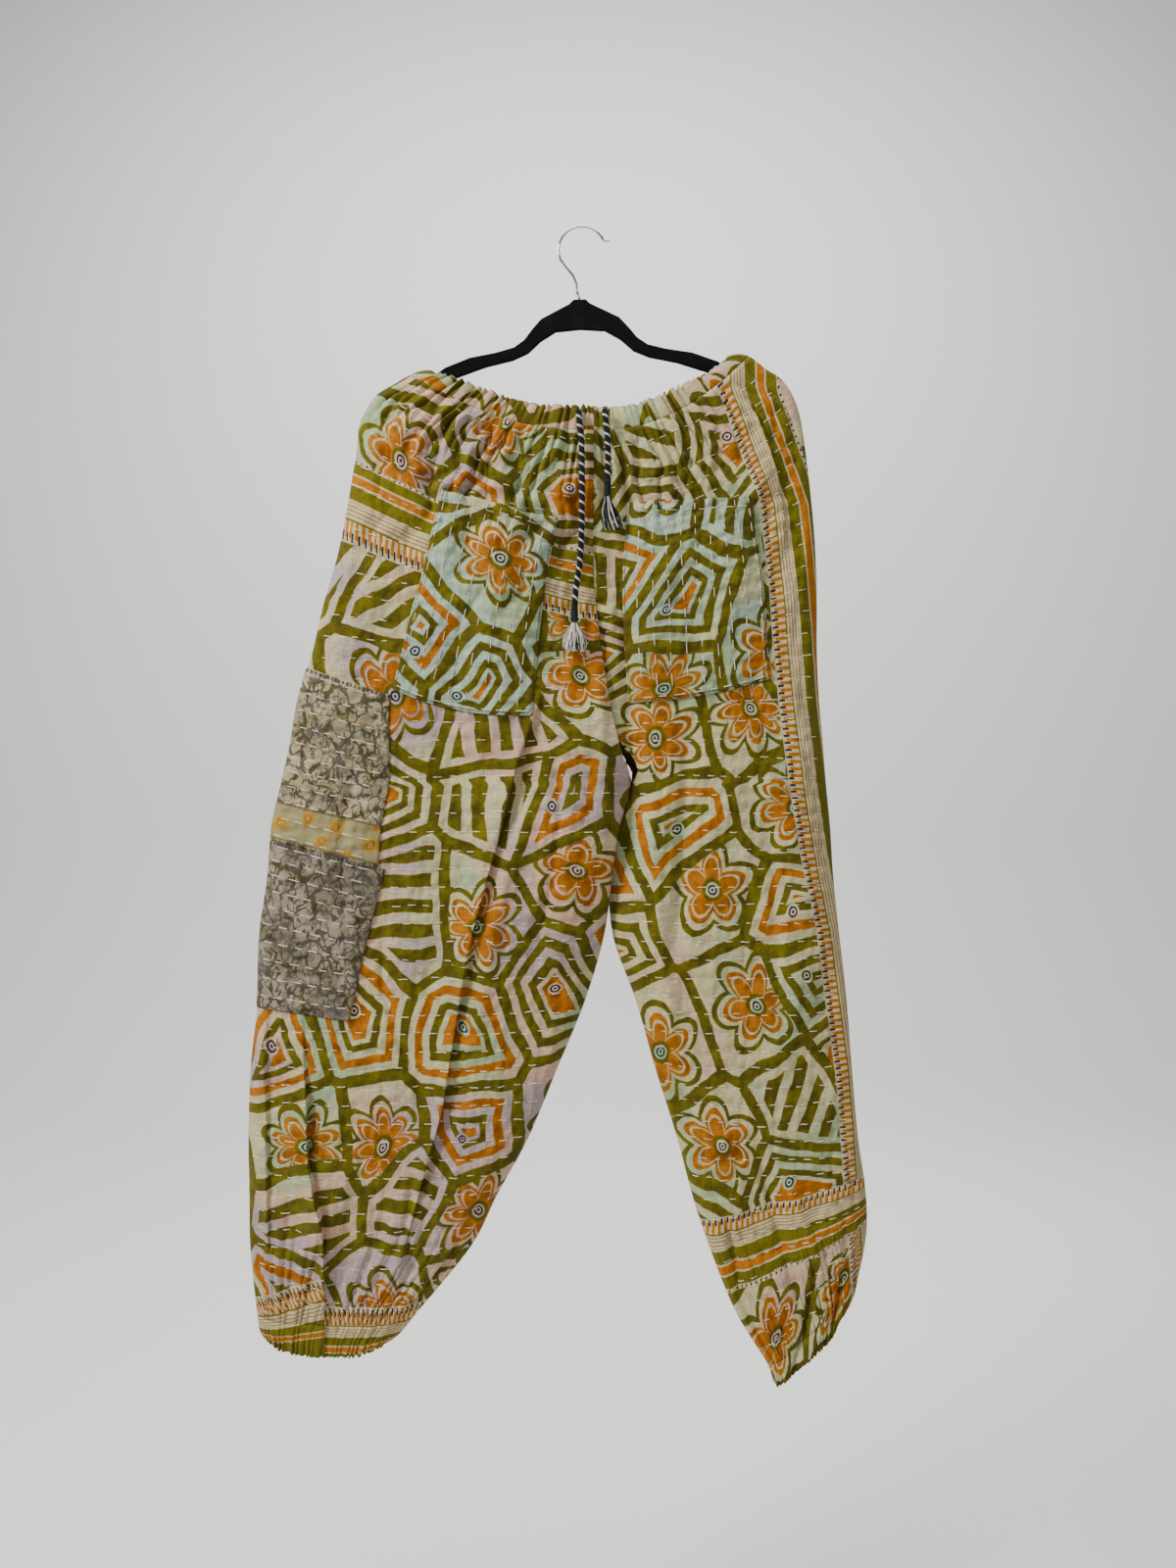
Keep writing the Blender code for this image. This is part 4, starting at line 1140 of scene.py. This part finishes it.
def threadTree():
    tree = bpy.data.node_groups.new("threads", "GeometryNodeTree")
    sockets = {}
    rows = (("Radius", "Float"), ("Sides", "Int"), ("Unevenness", "Float"), ("Material", "Material"))
    for name, kind in (("Geometry", "Geometry"), *rows):
        made = tree.interface.new_socket(name, in_out="INPUT", socket_type=f"NodeSocket{kind}")
        sockets[name] = made.identifier
    tree.interface.new_socket("Geometry", in_out="OUTPUT", socket_type="NodeSocketGeometry")
    n = NodeKit(tree)
    given = n.add("NodeGroupInput").outputs
    size = n.add("FunctionNodeRandomValue", data_type="FLOAT")
    least, most = [socket for socket in size.inputs if socket.enabled][:2]
    n.feed(least, n.math("SUBTRACT", 1.0, given["Unevenness"]))
    n.feed(most, 1.0)
    n.feed(size.inputs["Seed"], 7)
    size = next(socket for socket in size.outputs if socket.enabled)
    line = n.fed(n.add("GeometryNodeMeshToCurve"), {0: given["Geometry"]})
    line = n.fed(n.add("GeometryNodeSetCurveRadius"), {"Curve": line, "Radius": size})
    ring = {"Resolution": given["Sides"], "Radius": given["Radius"]}
    ring = n.fed(n.add("GeometryNodeCurvePrimitiveCircle"), ring)
    whole = {"Curve": line, "Profile Curve": ring, "Fill Caps": True}
    whole = n.fed(n.add("GeometryNodeCurveToMesh"), whole)
    whole = n.fed(n.add("GeometryNodeRealizeInstances"), {0: whole})
    whole = n.fed(n.add("GeometryNodeSetMaterial"), {"Geometry": whole, "Material": given["Material"]})
    n.feed(n.add("NodeGroupOutput").inputs[0], whole)
    return tree, sockets


threads, threadSockets = threadTree()


def addThreads(name, lines, form, material):
    # Round threads along lines of points in mm.
    lines = np.array(lines)
    at = np.arange(lines.shape[0] * lines.shape[1]).reshape(lines.shape[:2])
    edges = np.stack([at[:, :-1], at[:, 1:]], -1).reshape(-1, 2)
    mesh = bpy.data.meshes.new(name)
    mesh.from_pydata((lines.reshape(-1, 3) * mm).tolist(), edges.tolist(), [])
    made = addObject(name, mesh)
    grown = made.modifiers.new("threads", "NODES")
    grown.node_group = threads
    values = {"Radius": form["thick"] / 2 * mm, "Sides": form["sides"], "Unevenness": form["uneven"]}
    values["Material"] = material
    for key, value in values.items():
        grown[threadSockets[key]] = value
    seen = made.evaluated_get(bpy.context.evaluated_depsgraph_get())
    whole = bpy.data.meshes.new_from_object(seen)
    made.modifiers.clear()
    made.data = whole
    whole.polygons.foreach_set("use_smooth", [True] * len(whole.polygons))
    return made


def threadLook(name, colour, other):
    made, n, shader = newMaterial(name, 0.8)
    place = n.place()
    mixed = n.mix(n.step(n.noise(place, 320, 2), 0.35, 0.65), colour, other)
    n.fed(shader, {"Base Color": mixed, "Normal": n.bump(n.noise(place, 2600, 2), 0.0002, 0.6)})
    return made


def underPocket(side, u, v):
    a, b, c, d = sewnOn[f"pocket_{side}"]["corners"]
    top, low = (a[1] + b[1]) / 2, (c[1] + d[1]) / 2
    t = (v - top) / (low - top)
    for _ in range(2):  # the top and bottom slant a little
        left, right = a[0] + (d[0] - a[0]) * t, b[0] + (c[0] - b[0]) * t
        s = np.clip((u - left) / (right - left), 0, 1)
        top, low = a[1] + (b[1] - a[1]) * s, d[1] + (c[1] - d[1]) * s
        t = (v - top) / (low - top)
    return (t > -0.01) & (t < 1.06) & (u > left - 0.02) & (u < right + 0.02)


def underPatch(name, u, v):
    a, b, c, d = sewnOn[name]["corners"]
    far = b[0] + (c[0] - b[0]) * np.clip((v - a[1]) / (d[1] - a[1]), 0, 1)
    s = np.clip(u / far, 0, 1)
    top, low = a[1] + (b[1] - a[1]) * s, d[1] + (c[1] - d[1]) * s
    return (v > top - 0.05) & (v < low + 0.05) & (u < far + 0.02)


# A stitch comes up out of the cloth and goes down into it again.
dashShape = np.array([0, 0.22, 0.78, 1])
dashOut = np.array([-thread["sink"], thread["stand"], thread["stand"], -thread["sink"]])


def dashes(long, start):
    # Hand-made stitches along a line, as shares of its length in mm: one row of points for each.
    begins, sizes = [], []
    at = start + rng.uniform(0, quilt["gap"])
    while at < long - 12:
        size = quilt["dash"] + rng.uniform(-2.0, 2.0)
        begins.append(at)
        sizes.append(size)
        at += size + quilt["gap"] + rng.uniform(-1.5, 1.5)
    return (np.array(begins)[:, None] + np.array(sizes)[:, None] * dashShape) / long


def addStitches(name, lines, slot):
    made = addThreads(f"stitches_{name}", lines, thread, threadCream)
    finishPiece(made, slot)
    return made


def panelStitches(side, face):
    first, last = np.interp((1.35, 22.7), flatRows, flatHeights[side]) / quilt["pitch"]
    us, vs = [], []
    for k in range(int(np.ceil(first)), int(last) + 1):
        v = float(np.interp(k * quilt["pitch"], flatHeights[side], flatRows))
        u = dashes(float(np.interp(v, flatRows, flatWidths[side])), 9.0)
        us.append(u)
        vs.append(v + rng.normal(0, 0.012, (len(u), 1)) + rng.normal(0, 0.004, u.shape))
    u, v = np.concatenate(us), np.concatenate(vs)
    if face == "front":
        hidden = underPocket(side, u, v)
        if side == "right":
            hidden |= underPatch("side_upper", u, v) | underPatch("side_lower", u, v)
        u, v = u[~hidden.any(1)], v[~hidden.any(1)]
    return addStitches(f"{face}_{side}", cloth(side, face, u, v, dashOut), "printed_cotton")


def stitchRows(long, first, apart, last):
    # Where lines of stitches lie along a length in mm, as shares of it.
    places = (first + apart * np.arange(int(long / apart) + 1)) / long
    return places[places <= last]


def sewnStitches(name):
    # Lines down a pocket with one under its hem and one above its bottom, or lines across a patch.
    middle = sewnCloth(name, np.array([0.0, 1.0, 0.5, 0.5]), np.array([0.5, 0.5, 0.0, 1.0]))
    across, down = (float(np.linalg.norm(middle[k] - middle[k + 1])) for k in (0, 2))
    lines = []
    if sewnOn[name]["kind"] == "pocket":
        for k, s in enumerate(stitchRows(across, 4.5, 14.5, 0.975)):
            t = dashes(down, 1.0)
            sway = s + 0.004 * np.sin(9 * t + k) + rng.normal(0, 0.0006, t.shape)
            lines.append(sewnCloth(name, sway, t, dashOut))
        s = dashes(across, 1.0)
        lines += [sewnCloth(name, s, np.full(s.shape, t), dashOut) for t in (0.072, 0.982)]
    else:
        for t in stitchRows(down, 5, 15.5, 0.98):
            s = dashes(across, 3.0)
            lines.append(sewnCloth(name, s, t + rng.normal(0, 0.0005, s.shape), dashOut))
    return addStitches(name, np.concatenate(lines), sewnKinds[sewnOn[name]["kind"]]["slot"])


# ---- make the cords, then the cloth ----

threadCream = threadLook("threadCream", dyes["thread"], srgb(212, 202, 178))
cordLooks = {
    "black": threadLook("threadBlack", srgb(15, 15, 18), srgb(36, 36, 40)),
    "white": threadLook("threadWhite", srgb(228, 224, 212), srgb(186, 182, 170)),
}
twisted = twistedCotton()
for sideName in drawstrings:
    piece, cordPath, cordLength = buildDrawstring(sideName, twisted)
    (cordPath[0] * mm).tolist()
    cordLength * mm
    (cordPath[::4] * mm).tolist()
    buildTassel(sideName, cordLooks)
    print("drawstring", sideName, round(cordLength), "mm")

for faceName in faceSign:
    buildCasing(faceName)
print("casing done")
for sideName in levels:
    for faceName in faceSign:
        piece = buildPanel(sideName, faceName)
        sewn = panelStitches(sideName, faceName)
        buildCuff(sideName, faceName)
print("panels and cuffs done")
for sewnName, sewnRow in sewnOn.items():
    piece, cut = buildSewn(sewnName)
    sewn = sewnStitches(sewnName)
    print(sewnName, "cut", cut)
print("pockets and patches done")

# ---- hanger and hook ----

# Half of the hanger's outline from the neck to the arm's tip and back, as (x, z).
hangerOutline = (
    (6, -70), (10, -74), (24, -81), (38, -88), (47, -98), (55, -108), (65, -115), (82, -119.5),
    (108, -124), (132, -133), (143, -140.5), (158, -147), (178, -156), (188, -162), (191, -167),
    (189, -172), (180, -170), (158, -159.5), (124, -144), (93, -133.5), (66, -127.5), (51, -121),
    (39, -110), (24, -101), (0, -99),
)
hangerForm = {"thick": 5.0, "edge": 1.4, "roll": radians(1.36), "shift": -4.0}
hookForm = {
    "wire": 2.4, "radius": 22.8, "from": radians(205), "to": radians(28), "sides": 20, "socket": -69.5,
    "neck": ((-5, -62), (-5.5, -54), (-9, -46), (-15.5, -38)),
    "end": ((20.9, -12.3), (22.6, -12.9), (26.2, -12.6)),
}


def buildHanger():
    made, n, shader = newMaterial("velvet", 0.95, sheen=0.16, sheenRough=0.35, gloss=0.1)
    worn = n.step(n.noise(n.place(), 45, 3), 0.45, 0.7)
    colour = n.mix(worn, srgb(11, 11, 12), srgb(18, 18, 20))
    n.fed(shader, {"Base Color": colour, "Normal": n.bump(n.noise(n.place(), 2400, 3), 0.0004, 0.7)})
    outline = list(hangerOutline) + [(-x, z) for x, z in reversed(hangerOutline[:-1])]
    curve = bpy.data.curves.new("hangerOutline", "CURVE")
    curve.dimensions = "2D"
    curve.fill_mode = "BOTH"
    curve.extrude = (hangerForm["thick"] / 2 - hangerForm["edge"]) * mm
    curve.bevel_depth = hangerForm["edge"] * mm
    curve.bevel_resolution = 4
    curve.offset = -hangerForm["edge"] * mm
    spline = curve.splines.new("POLY")
    spline.points.add(len(outline) - 1)
    for point, (x, z) in zip(spline.points, outline):
        point.co = (x * mm, z * mm, 0, 1)
    spline.use_cyclic_u = True
    raw = addObject("hangerRaw", curve)
    seen = raw.evaluated_get(bpy.context.evaluated_depsgraph_get())
    mesh = bpy.data.meshes.new_from_object(seen)
    bpy.data.objects.remove(raw, do_unlink=True)
    turn = Matrix.Rotation(-hangerForm["roll"], 4, "Y") @ Matrix.Rotation(pi / 2, 4, "X")
    mesh.transform(Matrix.Translation((hangerForm["shift"] * mm, 0, 0)) @ turn)
    mesh.materials.clear()
    mesh.materials.append(made)
    finishPiece(addObject("velvetHanger", mesh), "velvet", "hanger")


def buildHook():
    made, n, shader = newMaterial("chrome", 0.13, sheen=0.0, metallic=1.0, gloss=0.5)
    n.fed(shader, {"Base Color": n.mix(n.noise(n.place(), 90, 2), (0.70, 0.71, 0.73), (0.82, 0.83, 0.85))})
    radius, low = hookForm["radius"], hookForm["socket"]
    centre = hookForm["wire"] / 2 - radius
    points = [(hangerForm["shift"] - sin(hangerForm["roll"]) * low, low), *hookForm["neck"]]
    for angle in np.linspace(hookForm["from"], hookForm["to"], 60):
        points.append((radius * cos(angle), centre + radius * sin(angle)))
    path = np.array([(x, 0, z) for x, z in (*points, *hookForm["end"])])
    piece = tube("hookWire", path, hookForm["wire"] / 2, hookForm["sides"], made)
    finishPiece(piece, "chrome", "hanger_hook")


buildHanger()
buildHook()
print("hanger done")

# ---- floor, light ----

studio = {"floor": -1.62, "wall": 3.4, "bend": 0.9, "half": 6.0, "top": 3.2, "steps": 16}
# Each lamp: its place, what it faces, its size in metres, its power and its colour.
lamps = {
    "key": ((-1.9, -1.35, 1.0), (0, 0, -0.6), (0.8, 0.9), 92, (1, 0.985, 0.95)),
    "fill": ((2.2, -1.6, -0.2), (0, 0, -0.6), (1.8, 2.0), 6, (0.96, 0.98, 1)),
    "top": ((0, -0.5, 1.6), (0, 0, -0.6), (1.4, 0.7), 30, (1, 1, 1)),
    "behind": ((0.8, 2.2, 0.4), (0, 0, -0.6), (1.8, 1.8), 20, (1, 1, 1)),
    "sweepWash": ((0, 1.3, 2.2), (0, 3.4, -0.8), (3.0, 0.6), 110, (1, 1, 1)),
}


def addStage():
    made = bpy.data.materials.new("paleStage")
    made.use_nodes = True
    shader = made.node_tree.nodes["Principled BSDF"]
    shader.inputs["Base Color"].default_value = (0.80, 0.80, 0.79, 1)
    shader.inputs["Roughness"].default_value = 0.9
    bend, wallY, low, half = (studio[name] for name in ("bend", "wall", "floor", "half"))
    profile = [(-half, low)]
    for angle in np.linspace(0, pi / 2, studio["steps"] + 1):
        profile.append((wallY - bend + bend * sin(angle), low + bend - bend * cos(angle)))
    profile.append((wallY, studio["top"]))
    points = [(x / mm, y / mm, z / mm) for y, z in profile for x in (-half, half)]
    faces = [(2 * k, 2 * k + 1, 2 * k + 3, 2 * k + 2) for k in range(len(profile) - 1)]
    addMesh("sweep", points, faces, made)


def addLamp(name, place, target, size, power, colour):
    data = bpy.data.lights.new(name, "AREA")
    data.shape = "RECTANGLE"
    data.size, data.size_y = size
    data.energy = power
    data.color = colour
    made = addObject(name, data)
    made.location = place
    made.rotation_euler = (Vector(target) - Vector(place)).to_track_quat("-Z", "Y").to_euler()


addStage()
for lampName, lamp in lamps.items():
    addLamp(lampName, *lamp)
world = bpy.data.worlds.new("studio")
world.use_nodes = True
world.node_tree.nodes["Background"].inputs[0].default_value = (0.90, 0.92, 0.95, 1)
world.node_tree.nodes["Background"].inputs[1].default_value = 0.24
bpy.context.scene.world = world
